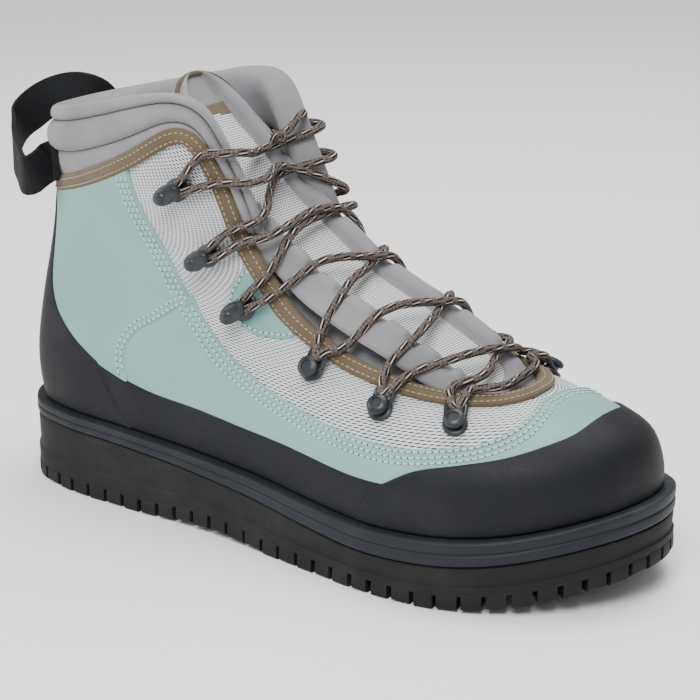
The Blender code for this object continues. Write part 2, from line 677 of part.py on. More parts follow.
def tongue_point(share, across, height):
    """A point on or over the tongue: across it in metres and out from its middle line in metres."""
    here, _, out = tongue_frame(share)
    spot = here + out * np.asarray(height)[..., None]
    return np.stack([spot[..., 0], np.broadcast_to(across, spot[..., 0].shape), spot[..., 1]], -1)


def build_tongue(material):
    """The padded tongue, with a roll down each side of a lower middle strip."""
    shares = np.linspace(0, 1, TONGUE_STEPS)
    top = np.array(TONGUE_SECTION)
    sections = []
    for share in shares:
        width = tongue_width(share)
        roll = TONGUE_ROLL * np.clip(share / 0.12, 0.25, 1)
        across = np.r_[top[:, 0] * width, 0.84 * width, 0.0, -0.84 * width]
        thick = TONGUE_THICKNESS * np.clip((1.02 - share) / 0.1, 0.55, 1)
        height = np.r_[top[:, 1] * roll, -1.55 * roll - 0.4 * thick, -thick, -1.55 * roll - 0.4 * thick]
        sections.append(tongue_point(np.full(across.shape, share), across, height))
    return tube_between("tongue", np.array(sections), material)


def build_pull_loop(material):
    """The webbing loop behind the collar, fixed low on the outer side and high on the inner side."""
    line = smooth_line(PULL_LINE, LOOP_STEPS)
    middle = placed(line)
    way = unit(np.gradient(middle, axis=0))
    across = unit(np.array([0.0, 0.0, 1.0]) - way * way[:, 2:])
    out = np.cross(way, across)
    sections = []
    for point, wide, thin in zip(middle, across, out):
        corners = [point + wide * LOOP_WIDTH / 2 * w + thin * LOOP_THICKNESS / 2 * t
                   for w, t in ((-1, -1), (1, -1), (1, 1), (-1, 1))]
        sections.append(corners)
    return tube_between("pull_loop", np.array(sections), material)


def hook_frame(number, side):
    """Seat of a hook on the shell, the direction to the throat and the direction out."""
    at, level, lift = HOOKS[number]
    if side == "inner":
        at = 1 - at
    seat = surface(at, level)
    out = normal(np.array(at), np.array(level))
    shares = np.linspace(0.6, 2.5, 100) * (-1 if side == "inner" else 1)
    edge = surface(*edge_place(shares).T)
    nearest = edge[np.linalg.norm(edge - seat, axis=1).argmin()]
    to_throat = nearest - seat
    to_throat = unit(to_throat - out * (to_throat @ out))
    return seat + out * lift * GAP, to_throat, out


def turned_mesh(name, profile, stretch, lean, material):
    """A turned body with its profile stretched along the hook and its head moved back."""
    steps = 7
    points = []
    for radius, height, shift in profile:
        for step in range(steps):
            turn = 2 * math.pi * step / steps
            points.append((radius * math.cos(turn) * stretch + shift * lean, radius * math.sin(turn), height))
    faces = grid_faces(len(profile), steps)
    faces.append(tuple(reversed(range(steps))))
    faces.append(tuple((len(profile) - 1) * steps + i for i in range(steps)))
    return make_mesh(name, points, faces, material)


def build_hooks(material):
    """Six hooks a side: the upper three open, with a long head, the lower three with a round stud."""
    half = HOOK_WIDTH / 2
    plate, rise = HOOK_PLATE, HOOK_RISE
    open_profile = [(half, 0, 0), (half, plate, 0), (0.42 * half, 1.5 * plate, 0.2),
                    (0.40 * half, rise - 1.6 * plate, 0.3), (0.95 * half, rise - 1.2 * plate, 1.0),
                    (0.70 * half, rise, 1.0)]
    stud_profile = [(half, 0, 0), (half, plate, 0), (0.60 * half, 1.3 * plate, 0),
                    (0.58 * half, 0.55 * rise, 0), (0.80 * half, 0.62 * rise, 0),
                    (0.60 * half, 0.88 * rise, 0)]
    stretch = HOOK_LENGTH / HOOK_WIDTH
    meshes = [turned_mesh("open_hook", open_profile, stretch, -0.12 * HOOK_LENGTH, material),
              turned_mesh("stud_hook", stud_profile, stretch, 0, material)]
    for side in ("outer", "inner"):
        for number in range(len(HOOKS)):
            seat, to_throat, out = hook_frame(number, side)
            mesh = meshes[0 if number < OPEN_HOOKS else 1]
            hook = link(bpy.data.objects.new("hook_%s_%d" % (side, number + 1), mesh), part)
            turn = np.eye(4)
            turn[:3, 0], turn[:3, 1], turn[:3, 2] = to_throat, np.cross(out, to_throat), out
            turn[:3, 3] = seat
            hook.matrix_world = Matrix(turn.tolist())


def lace_end(number, side, way):
    """Where a strand stops just short of a hook, beside the strand that leaves it the other way."""
    seat, to_throat, out = hook_frame(number, side)
    reach = HOOK_LENGTH / 2 + LACE_DIAMETER / 2 + 2 * LACE_CLEARANCE
    beside = np.cross(out, to_throat) * (1 if side == "outer" else -1)
    spread = (LACE_DIAMETER / 2 + LACE_CLEARANCE) * way
    return seat + to_throat * reach + out * (0.45 * HOOK_RISE) + beside * spread


def lace_edge(number, side, way):
    """Where a strand passes over the shell's edge and the tape on it."""
    seat, to_throat, out = hook_frame(number, side)
    beside = np.cross(out, to_throat) * (1 if side == "outer" else -1)
    shares = np.linspace(0.6, 2.5, 120) * (-1 if side == "inner" else 1)
    spots = surface(*edge_place(shares).T)
    nearest = np.linalg.norm(spots - seat - beside * way * LACE_DIAMETER, axis=1).argmin()
    over = BINDING_THICKNESS + 5 * GAP + LACE_DIAMETER / 2 + LACE_CLEARANCE
    if abs(shares[nearest]) > 1:
        return spots[nearest] + unit(out + 0.6 * to_throat) * over
    edge, rim = edge_place(shares[nearest]), rim_place(shares[nearest])
    return surface(*(edge + (rim - edge) * 0.5), COLLAR_BULGE + over)


def lace_share(number):
    """The share of the tongue's length that lies level with a hook."""
    seat = hook_frame(number, "outer")[0]
    shares = np.linspace(0, 1, 200)
    line = tongue_frame(shares)[0]
    return shares[np.linalg.norm(line - seat[[0, 2]], axis=1).argmin()]


def strand(one, two, way=-1):
    """Points of a strand from an outer hook over the tongue to an inner hook."""
    if one != two:
        way = np.sign(one - two)
    far_way = way if one == two else -way
    start, finish = lace_end(one, "outer", way), lace_end(two, "inner", far_way)
    rise, fall = lace_edge(one, "outer", way), lace_edge(two, "inner", far_way)
    share_one, share_two = lace_share(one), lace_share(two)
    over = TONGUE_ROLL + LACE_DIAMETER / 2 + 2 * LACE_CLEARANCE
    crests = []
    for side, mix, edge in ((-1, 0.28, rise), (1, 0.72, fall)):
        share = share_one + (share_two - share_one) * mix
        crest = tongue_point(np.array(share), side * 0.72 * tongue_width(share), np.array(over))
        crest[2] = max(crest[2], edge[2])
        crests.append(crest)
    return np.array([start, rise, crests[0], crests[1], fall, finish])


def lace_tube(name, points, material):
    """A round cord through a few points, as a curve."""
    curve = bpy.data.curves.new(name, "CURVE")
    curve.dimensions = "3D"
    curve.bevel_depth = LACE_DIAMETER / 2
    curve.bevel_resolution = 1
    curve.use_fill_caps = True
    line = smooth_line(points, LACE_STEPS)
    path = curve.splines.new("POLY")
    path.points.add(len(line) - 1)
    for point, spot in zip(path.points, line):
        point.co = (*spot, 1)
    curve.materials.append(material)
    return link(bpy.data.objects.new(name, curve), part)


def closed_from_curve(obj):
    """The curve's tube as a mesh object with its end caps welded on."""
    bpy.context.view_layer.update()
    shape = obj.evaluated_get(bpy.context.evaluated_depsgraph_get())
    mesh = bpy.data.meshes.new_from_object(shape)
    work = bmesh.new()
    work.from_mesh(mesh)
    bmesh.ops.remove_doubles(work, verts=work.verts, dist=0.01 * MM)
    work.to_mesh(mesh)
    work.free()
    name = obj.name
    place = obj.matrix_world.copy()
    bpy.data.objects.remove(obj)
    made = link(bpy.data.objects.new(name, mesh), part)
    made.matrix_world = place
    return made


def build_laces(material):
    """A bar at the bottom and at the top, and a crossing between each two rows of hooks."""
    last = len(HOOKS) - 1
    lace_tube("lace_bar", strand(last, last), material)
    lace_tube("lace_top", strand(0, 0, 1), material)
    for number in range(last):
        name = "lace_cross_%d" % (number + 1)
        down = closed_from_curve(lace_tube(name, strand(number, number + 1), material))
        up = closed_from_curve(lace_tube(name + "_up", strand(number + 1, number), material))
        cutters.objects.link(up)
        part.objects.unlink(up)
        up.display_type = "WIRE"
        up.hide_render = True
        join = down.modifiers.new("Crossing", "BOOLEAN")
        join.operation = "UNION"
        join.object = up
    lace_tube("lace_end", placed(END_LINE), material)
    ball = bmesh.new()
    bmesh.ops.create_icosphere(ball, subdivisions=1, radius=KNOT_DIAMETER / 2)
    mesh = bpy.data.meshes.new("lace_knot")
    ball.to_mesh(mesh)
    ball.free()
    mesh.materials.append(material)
    knot = link(bpy.data.objects.new("lace_knot", mesh), part)
    knot.location = placed(KNOT_PLACE)


def main():
    global part, cutters
    for obj in list(bpy.data.objects):
        bpy.data.objects.remove(obj)
    part = bpy.data.collections.new("wading_boot")
    cutters = bpy.data.collections.new("cutters")
    for collection in (part, cutters):
        bpy.context.scene.collection.children.link(collection)
    rubber = make_material("black_rubber", (0.016, 0.017, 0.020), 0.62)
    foam = make_material("charcoal_foam", (0.030, 0.034, 0.042), 0.55)
    mesh_cloth = make_material("light_mesh", (0.62, 0.63, 0.64), 0.85)
    green = make_material("green_fabric", (0.38, 0.56, 0.53), 0.60)
    padding = make_material("grey_padding", (0.33, 0.33, 0.36), 0.85)
    tape = make_material("tan_tape", (0.28, 0.20, 0.11), 0.80)
    webbing = make_material("black_webbing", (0.018, 0.019, 0.022), 0.75)
    plastic = make_material("slate_plastic", (0.035, 0.040, 0.050), 0.40)
    cord = make_material("taupe_cord", (0.19, 0.16, 0.15), 0.85)
    build_outsole(rubber)
    build_midsole(foam)
    build_insole(padding)
    build_upper(mesh_cloth)
    build_overlays(rubber, green)
    build_binding(tape)
    build_collar(padding)
    build_tongue(padding)
    build_pull_loop(webbing)
    build_hooks(plastic)
    build_laces(cord)


main()
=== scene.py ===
"""Looks of a lace-up wading boot, right foot: panels, stitches, pads, hooks, laces and rubber sole.

Everything sewn to the upper is laid out flat, as places (round, level) on the boot's own form, and
then wrapped on it by surface(). Sizes are in metres, +X to the toe, +Y to the inner side, +Z up.
"""

import math

import bpy
import numpy as np
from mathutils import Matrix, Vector, kdtree
from mathutils.geometry import delaunay_2d_cdt


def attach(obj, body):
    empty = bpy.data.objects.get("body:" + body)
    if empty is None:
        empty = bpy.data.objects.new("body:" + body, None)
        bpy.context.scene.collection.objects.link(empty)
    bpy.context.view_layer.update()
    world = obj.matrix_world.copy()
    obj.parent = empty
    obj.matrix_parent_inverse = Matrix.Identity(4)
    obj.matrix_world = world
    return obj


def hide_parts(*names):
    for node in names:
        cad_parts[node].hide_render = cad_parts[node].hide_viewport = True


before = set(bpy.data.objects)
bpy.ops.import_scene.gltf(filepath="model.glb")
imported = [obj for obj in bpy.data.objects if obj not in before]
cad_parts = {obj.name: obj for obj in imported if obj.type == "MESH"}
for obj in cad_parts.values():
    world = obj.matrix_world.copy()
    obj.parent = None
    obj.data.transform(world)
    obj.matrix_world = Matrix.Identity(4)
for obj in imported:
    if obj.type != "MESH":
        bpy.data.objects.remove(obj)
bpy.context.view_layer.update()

MM = 0.001

# Sizes of the part, as its source names them
LENGTH = 315 * MM
BALL_WIDTH = 126 * MM
UPPER_HEIGHT = 135 * MM
HEEL_STACK = 38 * MM
BALL_STACK = 28.5 * MM
TOE_SPRING = 15 * MM
ARCH_RISE = 2.5 * MM
HEEL_SETBACK = 50 * MM
UPPER_INSET = 7 * MM
WALL = 2.5 * MM
MIDSOLE_HEEL = 6.5 * MM
MIDSOLE_BALL = 10 * MM
LUG_DEPTH = 6 * MM
BINDING_WIDTH = 6.5 * MM
COLLAR_PAD = 10 * MM
COLLAR_BULGE = 3.2 * MM
TONGUE_HALF_WIDTH = 29 * MM
TONGUE_THICKNESS = 6 * MM
TONGUE_ROLL = 4.5 * MM
HOOK_WIDTH = 11 * MM
LOOP_WIDTH = 18 * MM
LOOP_THICKNESS = 2.2 * MM

# What scene.py adds to them
LACE_RADIUS = 1.85 * MM
LINING_GAP = 0.6 * MM         # the collar's hidden skirt, inside the lining
GREEN_EDGE = 0.9 * MM         # how far a panel's edge is rolled down
VAMP_SHEET = 0.9 * MM
QUARTER_SHEET = 1.5 * MM
PATCH_SHEET = 1.0 * MM
TOE_STATION = 210             # the tape's station at the toe, half their number
THROAT = slice(60, -60)       # its stations beside the throat
TONGUE_ROWS = 200

SIDES = ("outer", "inner")

# along, outer side, inner side: the sole's half widths in plan, of LENGTH and BALL_WIDTH
PLAN = [
    (0.012, 0.20, 0.21), (0.05, 0.31, 0.315), (0.12, 0.372, 0.355), (0.22, 0.39, 0.345),
    (0.34, 0.40, 0.315), (0.46, 0.425, 0.315), (0.58, 0.468, 0.37), (0.69, 0.50, 0.455),
    (0.79, 0.478, 0.50), (0.88, 0.385, 0.45), (0.945, 0.255, 0.345), (0.985, 0.115, 0.215)]
TOE_TIP = 0.06

# back x, back rise, front x, front rise, outer width, inner width, roundness of each level
LEVELS = np.array([
    (0.022, 0.000, 0.974, 0.000, 1.000, 1.000, 0.00),
    (0.014, 0.090, 0.972, 0.080, 1.010, 1.010, 0.00),
    (0.011, 0.185, 0.958, 0.170, 0.990, 0.990, 0.05),
    (0.011, 0.280, 0.926, 0.235, 0.920, 0.930, 0.15),
    (0.013, 0.385, 0.880, 0.300, 0.830, 0.840, 0.30),
    (0.016, 0.480, 0.823, 0.345, 0.740, 0.750, 0.48),
    (0.019, 0.570, 0.755, 0.404, 0.665, 0.670, 0.65),
    (0.022, 0.650, 0.680, 0.497, 0.635, 0.635, 0.80),
    (0.024, 0.725, 0.605, 0.587, 0.635, 0.635, 0.92),
    (0.024, 0.800, 0.530, 0.698, 0.655, 0.655, 1.00),
    (0.024, 0.870, 0.470, 0.830, 0.685, 0.685, 1.00),
    (0.029, 0.926, 0.430, 1.000, 0.705, 0.705, 1.00),
    (0.038, 0.985, 0.405, 1.200, 0.700, 0.700, 1.00)])
OVAL_POWER = 0.85

# Places (round, level) of edges and seams on the outer side; the inner side mirrors them
EDGE = [(0.0, 7.9), (0.075, 8.45), (0.143, 9.25), (0.205, 10.1), (0.253, 10.7), (0.297, 11.18),
        (0.326, 11.33), (0.348, 11.22), (0.361, 10.9), (0.367, 10.5), (0.366, 10.1), (0.361, 9.7),
        (0.351, 9.15), (0.343, 8.6), (0.334, 7.9), (0.328, 7.3), (0.327, 6.95), (0.331, 6.6),
        (0.343, 6.2), (0.357, 5.95), (0.378, 5.7), (0.398, 5.48), (0.420, 5.32), (0.445, 5.25),
        (0.472, 5.27), (0.5, 5.3)]
RIM = [(0.0, 11.8), (0.08, 11.85), (0.16, 11.9), (0.222, 11.95), (0.272, 12.0), (0.315, 11.97),
       (0.345, 11.85), (0.368, 11.6), (0.384, 11.2), (0.393, 10.7), (0.394, 10.2), (0.388, 9.75),
       (0.374, 9.25)]
MESH_SEAM = [(0.251, 10.72), (0.233, 8.85), (0.225, 7.55), (0.220, 5.9), (0.223, 5.3), (0.233, 4.15),
             (0.250, 3.6), (0.288, 3.15), (0.315, 3.05), (0.345, 3.0), (0.375, 3.15), (0.405, 3.4),
             (0.433, 3.85), (0.458, 4.4), (0.480, 4.78), (0.5, 4.86)]
REAR_SEAM = [(0.221, 5.6), (0.212, 5.4), (0.175, 4.2), (0.152, 3.45), (0.143, 2.85), (0.143, 1.9)]
COUNTER_TOP = [(0.0, 7.5), (0.040, 7.6), (0.052, 6.9), (0.060, 5.4), (0.068, 4.2), (0.077, 3.6),
               (0.098, 2.85), (0.120, 2.2)]
RAND_TOP = [(0.109, 2.50), (0.120, 2.2), (0.135, 1.95), (0.155, 1.75), (0.198, 1.7), (0.230, 1.65),
            (0.265, 1.7), (0.307, 1.65), (0.336, 1.65)]
CAP_TOP = [(0.333, 1.65), (0.355, 2.25), (0.385, 2.6), (0.413, 2.8), (0.435, 3.0), (0.460, 3.2),
           (0.487, 3.45), (0.5, 3.5)]
COUNTER_FRONT = [(0.1205, 2.15), (0.130, 1.0), (0.140, 0.02)]
CAP_BACK = [(0.328, 1.6), (0.320, 1.0), (0.310, 0.02)]
PATCH = [(0.330, 8.1), (0.312, 8.0), (0.287, 7.35), (0.262, 6.45), (0.250, 5.75), (0.262, 5.42),
         (0.283, 5.55), (0.305, 5.95), (0.322, 6.62)]

# along, rise: the middle of the tongue's top side, from under the vamp to its upper end
TONGUE_LINE = [(0.795, 0.270), (0.746, 0.325), (0.676, 0.405), (0.641, 0.443), (0.584, 0.495),
               (0.514, 0.570), (0.476, 0.632), (0.429, 0.707), (0.400, 0.762), (0.359, 0.860),
               (0.337, 0.914), (0.305, 0.980), (0.279, 1.044), (0.252, 1.130)]

# round, level, lift: the hooks from the top down, and the lift of their seats over the shell
HOOKS = [(0.300, 9.95, 0.6), (0.278, 8.00, 0.6), (0.275, 6.35, 2.1), (0.306, 4.93, 1.8),
         (0.346, 4.18, 0.9), (0.394, 4.00, 0.6)]
OPEN_HOOKS = 3

# along, across, rise: the pull loop's middle line, of LENGTH, BALL_WIDTH and UPPER_HEIGHT
PULL_LINE = [(0.075, -0.262, 0.765), (0.030, -0.245, 0.762), (-0.020, -0.165, 0.775),
             (-0.064, -0.060, 0.820), (-0.074, 0.010, 0.875), (-0.056, 0.070, 0.935),
             (-0.020, 0.125, 0.985), (0.018, 0.175, 1.010), (0.050, 0.215, 1.010)]
END_LINE = [(0.386, 0.102, 0.963), (0.390, 0.143, 0.993), (0.387, 0.190, 1.004),
            (0.376, 0.230, 0.993), (0.3635, 0.262, 0.981)]
KNOT_PLACE = (0.381, 0.063, 0.948)

# Camera, fitted to the photograph's 700 pixel frame
CAMERA_TURN = 35.3
CAMERA_RISE = 18.1
CAMERA_DISTANCE = 1.0
CAMERA_TARGET = (0.105, 0.0, 0.08)
CAMERA_LENS = 118.3
CAMERA_SHIFT = (0.0243, -0.0086)
SENSOR_WIDTH = 36
WORLD_STRENGTH = 0.55
LIGHTS = [("key", (0.5, -0.9, 1.2), 0.7, 24), ("fill", (-0.9, -0.7, 0.6), 0.8, 8),
          ("top", (0.1, 0.5, 1.4), 1.0, 20)]


def spline(knots, values, at):
    """A cubic through the rows of a table, with its slopes taken from the neighbouring rows."""
    knots = np.asarray(knots, float)
    values = np.asarray(values, float)
    at = np.asarray(at, float)
    step = np.diff(knots)[:, None]
    slope = np.diff(values, axis=0) / step
    inner = (slope[:-1] * step[1:] + slope[1:] * step[:-1]) / (step[1:] + step[:-1])
    tangent = np.vstack([slope[:1], inner, slope[-1:]])
    row = np.clip(np.searchsorted(knots, at, side="right") - 1, 0, len(knots) - 2)
    width = (knots[row + 1] - knots[row])[..., None]
    t = (at - knots[row])[..., None] / width
    return ((2 * t**3 - 3 * t**2 + 1) * values[row] + (t**3 - 2 * t**2 + t) * width * tangent[row]
            + (3 * t**2 - 2 * t**3) * values[row + 1] + (t**3 - t**2) * width * tangent[row + 1])


def run_of(points):
    """Lengths along a line up to each of its points."""
    return np.r_[0, np.cumsum(np.linalg.norm(np.diff(points, axis=0), axis=1))]


def smooth_line(points, count, scale=1.0):
    """Evenly spaced points on a smooth curve through a short row of points."""
    points = np.asarray(points, float)
    run = run_of(points * scale)
    return spline(run, points, np.linspace(0, run[-1], count))


def unit(vectors):
    return vectors / np.maximum(np.linalg.norm(vectors, axis=-1), 1e-12)[..., None]


def bump_shape(x):
    """A soft step from 0 to 1."""
    x = np.clip(x, 0, 1)
    return x * x * (3 - 2 * x)


def plan(around, inset=0.0):
    """A point of the sole's outline: 0 at the heel, 0.5 at the toe, past it on the inner side."""
    rows = np.array(PLAN)
    outer = rows[:, [0, 1]] * [1, -1]
    inner = rows[::-1, [0, 2]]
    loop = np.vstack([[0, 0], outer, [1, TOE_TIP], inner, [0, 0]]) * [LENGTH, BALL_WIDTH]
    half = len(PLAN) + 1
    run = run_of(loop)
    key = np.r_[0.5 * run[:half + 1] / run[half],
                0.5 + 0.5 * (run[half + 1:] - run[half]) / (run[-1] - run[half])]
    knots = np.r_[key[:-1] - 1, key[:-1], key + 1]
    values = np.vstack([loop[:-1], loop[:-1], loop])
    around = np.mod(around, 1)
    nudge = 1e-4
    along = spline(knots, values, around + nudge) - spline(knots, values, around - nudge)
    inwards = unit(np.stack([-along[..., 1], along[..., 0]], -1))
    return spline(knots, values, around) + inwards * inset


def sole_top(along):
    """Height of the sole's top edge at a share of its length."""
    rows = np.array([
        (0.00, HEEL_STACK), (0.20, HEEL_STACK - 1 * MM), (0.45, (HEEL_STACK + BALL_STACK) / 2),
        (0.70, BALL_STACK), (0.85, BALL_STACK + 0.25 * TOE_SPRING), (1.00, BALL_STACK + TOE_SPRING)])
    return spline(rows[:, 0], rows[:, 1:], np.clip(along, 0, 1))[..., 0]


def midsole_height(along):
    rows = np.array([(0.0, MIDSOLE_HEEL), (0.25, MIDSOLE_HEEL), (0.65, MIDSOLE_BALL),
                     (1.0, MIDSOLE_BALL)])
    return spline(rows[:, 0], rows[:, 1:], np.clip(along, 0, 1))[..., 0]


def tread_height(along):
    toe = np.clip((along - 0.74) / 0.26, 0, None)
    arch = np.clip(1 - ((along - 0.39) / 0.11)**2, 0, 1)
    heel = np.clip((0.05 - along) / 0.05, 0, 1)
    return TOE_SPRING * toe**2 + ARCH_RISE * arch + 2 * MM * heel**2


def base_surface(around, level):
    row = spline(np.arange(len(LEVELS)), LEVELS, level)
    back, back_rise, front, front_rise, outer, inner, oval = [row[..., i] for i in range(7)]
    foot = plan(around, UPPER_INSET)
    heel, toe = plan(np.array([0.0, 0.5]), UPPER_INSET)[:, 0]
    reach = BALL_WIDTH / 2 - UPPER_INSET
    turn = 2 * np.pi * around
    u = (foot[..., 0] - heel) / (toe - heel) * (1 - oval) + (1 - np.cos(turn)) / 2 * oval
    bow = -np.sign(np.sin(turn)) * np.abs(np.sin(turn))**OVAL_POWER
    v = foot[..., 1] / reach * (1 - oval) + bow * oval
    x = back + (front - back) * u
    rise = back_rise + (front_rise - back_rise) * np.clip(u, 0, 1)
    width = np.where(v < 0, outer, inner) * reach
    return np.stack([x * LENGTH - HEEL_SETBACK, v * width, sole_top(x) + rise * UPPER_HEIGHT], -1)


def slopes(around, level):
    """How the form moves for each unit of round and of level."""
    nudge = 1e-3
    top = float(len(LEVELS) - 1)
    level = np.asarray(level, float)
    round_it = (base_surface(around + nudge, level) - base_surface(around - nudge, level)) / (2 * nudge)
    high, low = np.minimum(level + 5 * nudge, top), np.minimum(level, top) - 5 * nudge
    up_it = (base_surface(around, high) - base_surface(around, low)) / (high - low)[..., None]
    return round_it, up_it


def normal(around, level):
    return unit(np.cross(*slopes(around, level)))


def surface(place, offset=0.0):
    """Points over places on the upper, at an offset along its normal."""
    place = np.asarray(place, float)
    offset = np.broadcast_to(offset, place.shape[:-1])
    around, level = place[..., 0], place[..., 1]
    return base_surface(around, level) + normal(around, level) * offset[..., None]


def moved(place, vector):
    """Places after small steps in metres along the surface."""
    a, b = slopes(place[..., 0], place[..., 1])
    aa, ab, bb = (a * a).sum(-1), (a * b).sum(-1), (b * b).sum(-1)
    av, bv = (a * vector).sum(-1), (b * vector).sum(-1)
    under = aa * bb - ab * ab
    return place + np.stack([(av * bb - bv * ab) / under, (bv * aa - av * ab) / under], -1)


def left_of(place):
    """For a line of places, the direction in the surface that leads to its left."""
    points = surface(place)
    return unit(np.cross(normal(place[:, 0], place[:, 1]), unit(np.gradient(points, axis=0))))


def beside(place, distance):
    """A line of places that runs beside another, to its left."""
    return moved(place, left_of(place) * distance)


def mirrored(place):
    return np.asarray(place) * [-1, 1] + [1, 0]


def on_side(side, place):
    """Places of the outer side, or the same ones on the inner side."""
    return place if side == "outer" else mirrored(place)


def placed(table):
    """Points from shares along the boot, across it and up the shaft."""
    return np.asarray(table) * [LENGTH, BALL_WIDTH, UPPER_HEIGHT] + [-HEEL_SETBACK, 0, HEEL_STACK]


FLAT_SCALE = np.array([0.60, 0.0118])
MEASURE_ROUND = np.linspace(-0.5, 1.5, 401)
MEASURE_LEVEL = np.linspace(0, len(LEVELS) - 1, 121)


def measure_form():
    """Lengths along and up the form, for weaves of one size all over it."""
    points = base_surface(*np.meshgrid(MEASURE_ROUND, MEASURE_LEVEL, indexing="ij"))
    steps = (np.diff(points, axis=0, prepend=points[:1]),
             np.diff(points, axis=1, prepend=points[:, :1]))
    return np.stack([np.cumsum(np.linalg.norm(s, axis=2), axis=i) for i, s in enumerate(steps)], -1)


MEASURE = measure_form()


def cloth_metres(place):
    """Where places lie on the flat cloth, in metres."""
    across = np.interp(place[:, 0], MEASURE_ROUND, np.arange(len(MEASURE_ROUND)))
    up = np.interp(place[:, 1], MEASURE_LEVEL, np.arange(len(MEASURE_LEVEL)))
    i = np.clip(across.astype(int), 0, len(MEASURE_ROUND) - 2)
    j = np.clip(up.astype(int), 0, len(MEASURE_LEVEL) - 2)
    s, t = (across - i)[:, None], (up - j)[:, None]
    return ((1 - s) * (1 - t) * MEASURE[i, j] + s * (1 - t) * MEASURE[i + 1, j]
            + (1 - s) * t * MEASURE[i, j + 1] + s * t * MEASURE[i + 1, j + 1])


# Making pieces
def linked(name, data):
    made = bpy.data.objects.new(name, data)
    bpy.context.scene.collection.objects.link(made)
    return made


def make_piece(name, points, faces, material, uv=None, smooth=60):
    mesh = bpy.data.meshes.new(name)
    mesh.from_pydata([tuple(p) for p in np.reshape(points, (-1, 3))], [], [tuple(f) for f in faces])
    mesh.update()
    mesh.materials.append(material)
    mesh.shade_smooth()
    mesh.set_sharp_from_angle(angle=math.radians(smooth))
    if uv is not None:
        layer = mesh.uv_layers.new(name="cloth")
        corners = np.zeros(len(mesh.loops), np.int32)
        mesh.loops.foreach_get("vertex_index", corners)
        layer.data.foreach_set("uv", np.reshape(uv, (-1, 2))[corners].astype(np.float32).ravel())
    return linked(name, mesh)


def dress(obj, slot, *nodes):
    """Let a piece ride on the boot and stand for its CAD nodes; slot, the name of its finish, is not
    used.
    """
    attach(obj, "root")
    if nodes:
        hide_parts(*nodes)
    return obj


def loft(name, sections, material, closed=True, smooth=60, caps=True, wide=None):
    """A skin through sections, with metres along and across it for its weave."""
    sections = np.asarray(sections)
    rows, columns = sections.shape[:2]
    ring = sections
    if closed:
        ring = np.concatenate([sections, sections[:, :1]], axis=1)
        columns += 1
    across = np.cumsum(np.linalg.norm(np.diff(ring, axis=1, prepend=ring[:, :1]), axis=2), axis=1)
    middle = ring.mean(axis=1)
    along = np.repeat(run_of(middle)[:, None], columns, axis=1)
    if wide is not None:
        across = np.broadcast_to(wide, (rows, columns))
    faces = []
    for low in range(0, (rows - 1) * columns, columns):
        for c in range(low, low + columns - 1):
            faces.append((c, c + 1, c + 1 + columns, c + columns))
    if closed and caps:
        faces.append(tuple(reversed(range(columns - 1))))
        faces.append(tuple((rows - 1) * columns + i for i in range(columns - 1)))
    obj = make_piece(name, ring, faces, material, np.stack([across, along], -1), smooth)
    if closed:
        weld = obj.modifiers.new("Seam", "WELD")
        weld.merge_threshold = 0.005 * MM
    return obj


def rings_along(path, radius, sides, start):
    """Rings across a path, without twist; start is any direction that the path doesn't take."""
    path = np.asarray(path, float)
    way = unit(np.gradient(path, axis=0))
    side = unit(np.cross(way[0], start))
    turn = np.linspace(0, 2 * np.pi, sides, endpoint=False)[:, None]
    rings = []
    for point, along, r in zip(path, way, np.broadcast_to(radius, len(path))):
        side = unit(side - along * (side @ along))
        rings.append(point + r * (np.cos(turn) * side + np.sin(turn) * np.cross(along, side)))
    return rings


def tube(name, path, radius, material, sides=12):
    """A round cord along close points; its weave runs round once and along in metres."""
    rings = rings_along(path, radius, sides, [0.3, 0.1, 0.95])
    return loft(name, rings, material, wide=np.linspace(0, 1, sides + 1))


def inside(points, outline):
    """Which flat points lie inside a closed outline."""
    x, y = points[:, 0], points[:, 1]
    hit = np.zeros(len(points), bool)
    for (ax, ay), (bx, by) in zip(outline, np.roll(outline, -1, axis=0)):
        if ay != by:
            hit ^= ((ay > y) != (by > y)) & (x < (bx - ax) * (y - ay) / (by - ay) + ax)
    return hit


def nearness(points, edge_points):
    """Distance of each point to the nearest of many edge points."""
    tree = kdtree.KDTree(len(edge_points))
    for i, p in enumerate(edge_points):
        tree.insert(p, i)
    tree.balance()
    return np.array([tree.find(p)[2] for p in points])


def sampled(at, run, table):
    """Rows of a table at lengths along its line."""
    return np.stack([np.interp(at, run, column) for column in table.T], -1)


def even_outline(outline, step):
    """A closed outline of places with points about a step apart."""
    closed = np.vstack([outline, outline[:1]])
    run = run_of(closed * FLAT_SCALE)
    return sampled(np.linspace(0, run[-1], int(run[-1] / step), endpoint=False), run, closed)


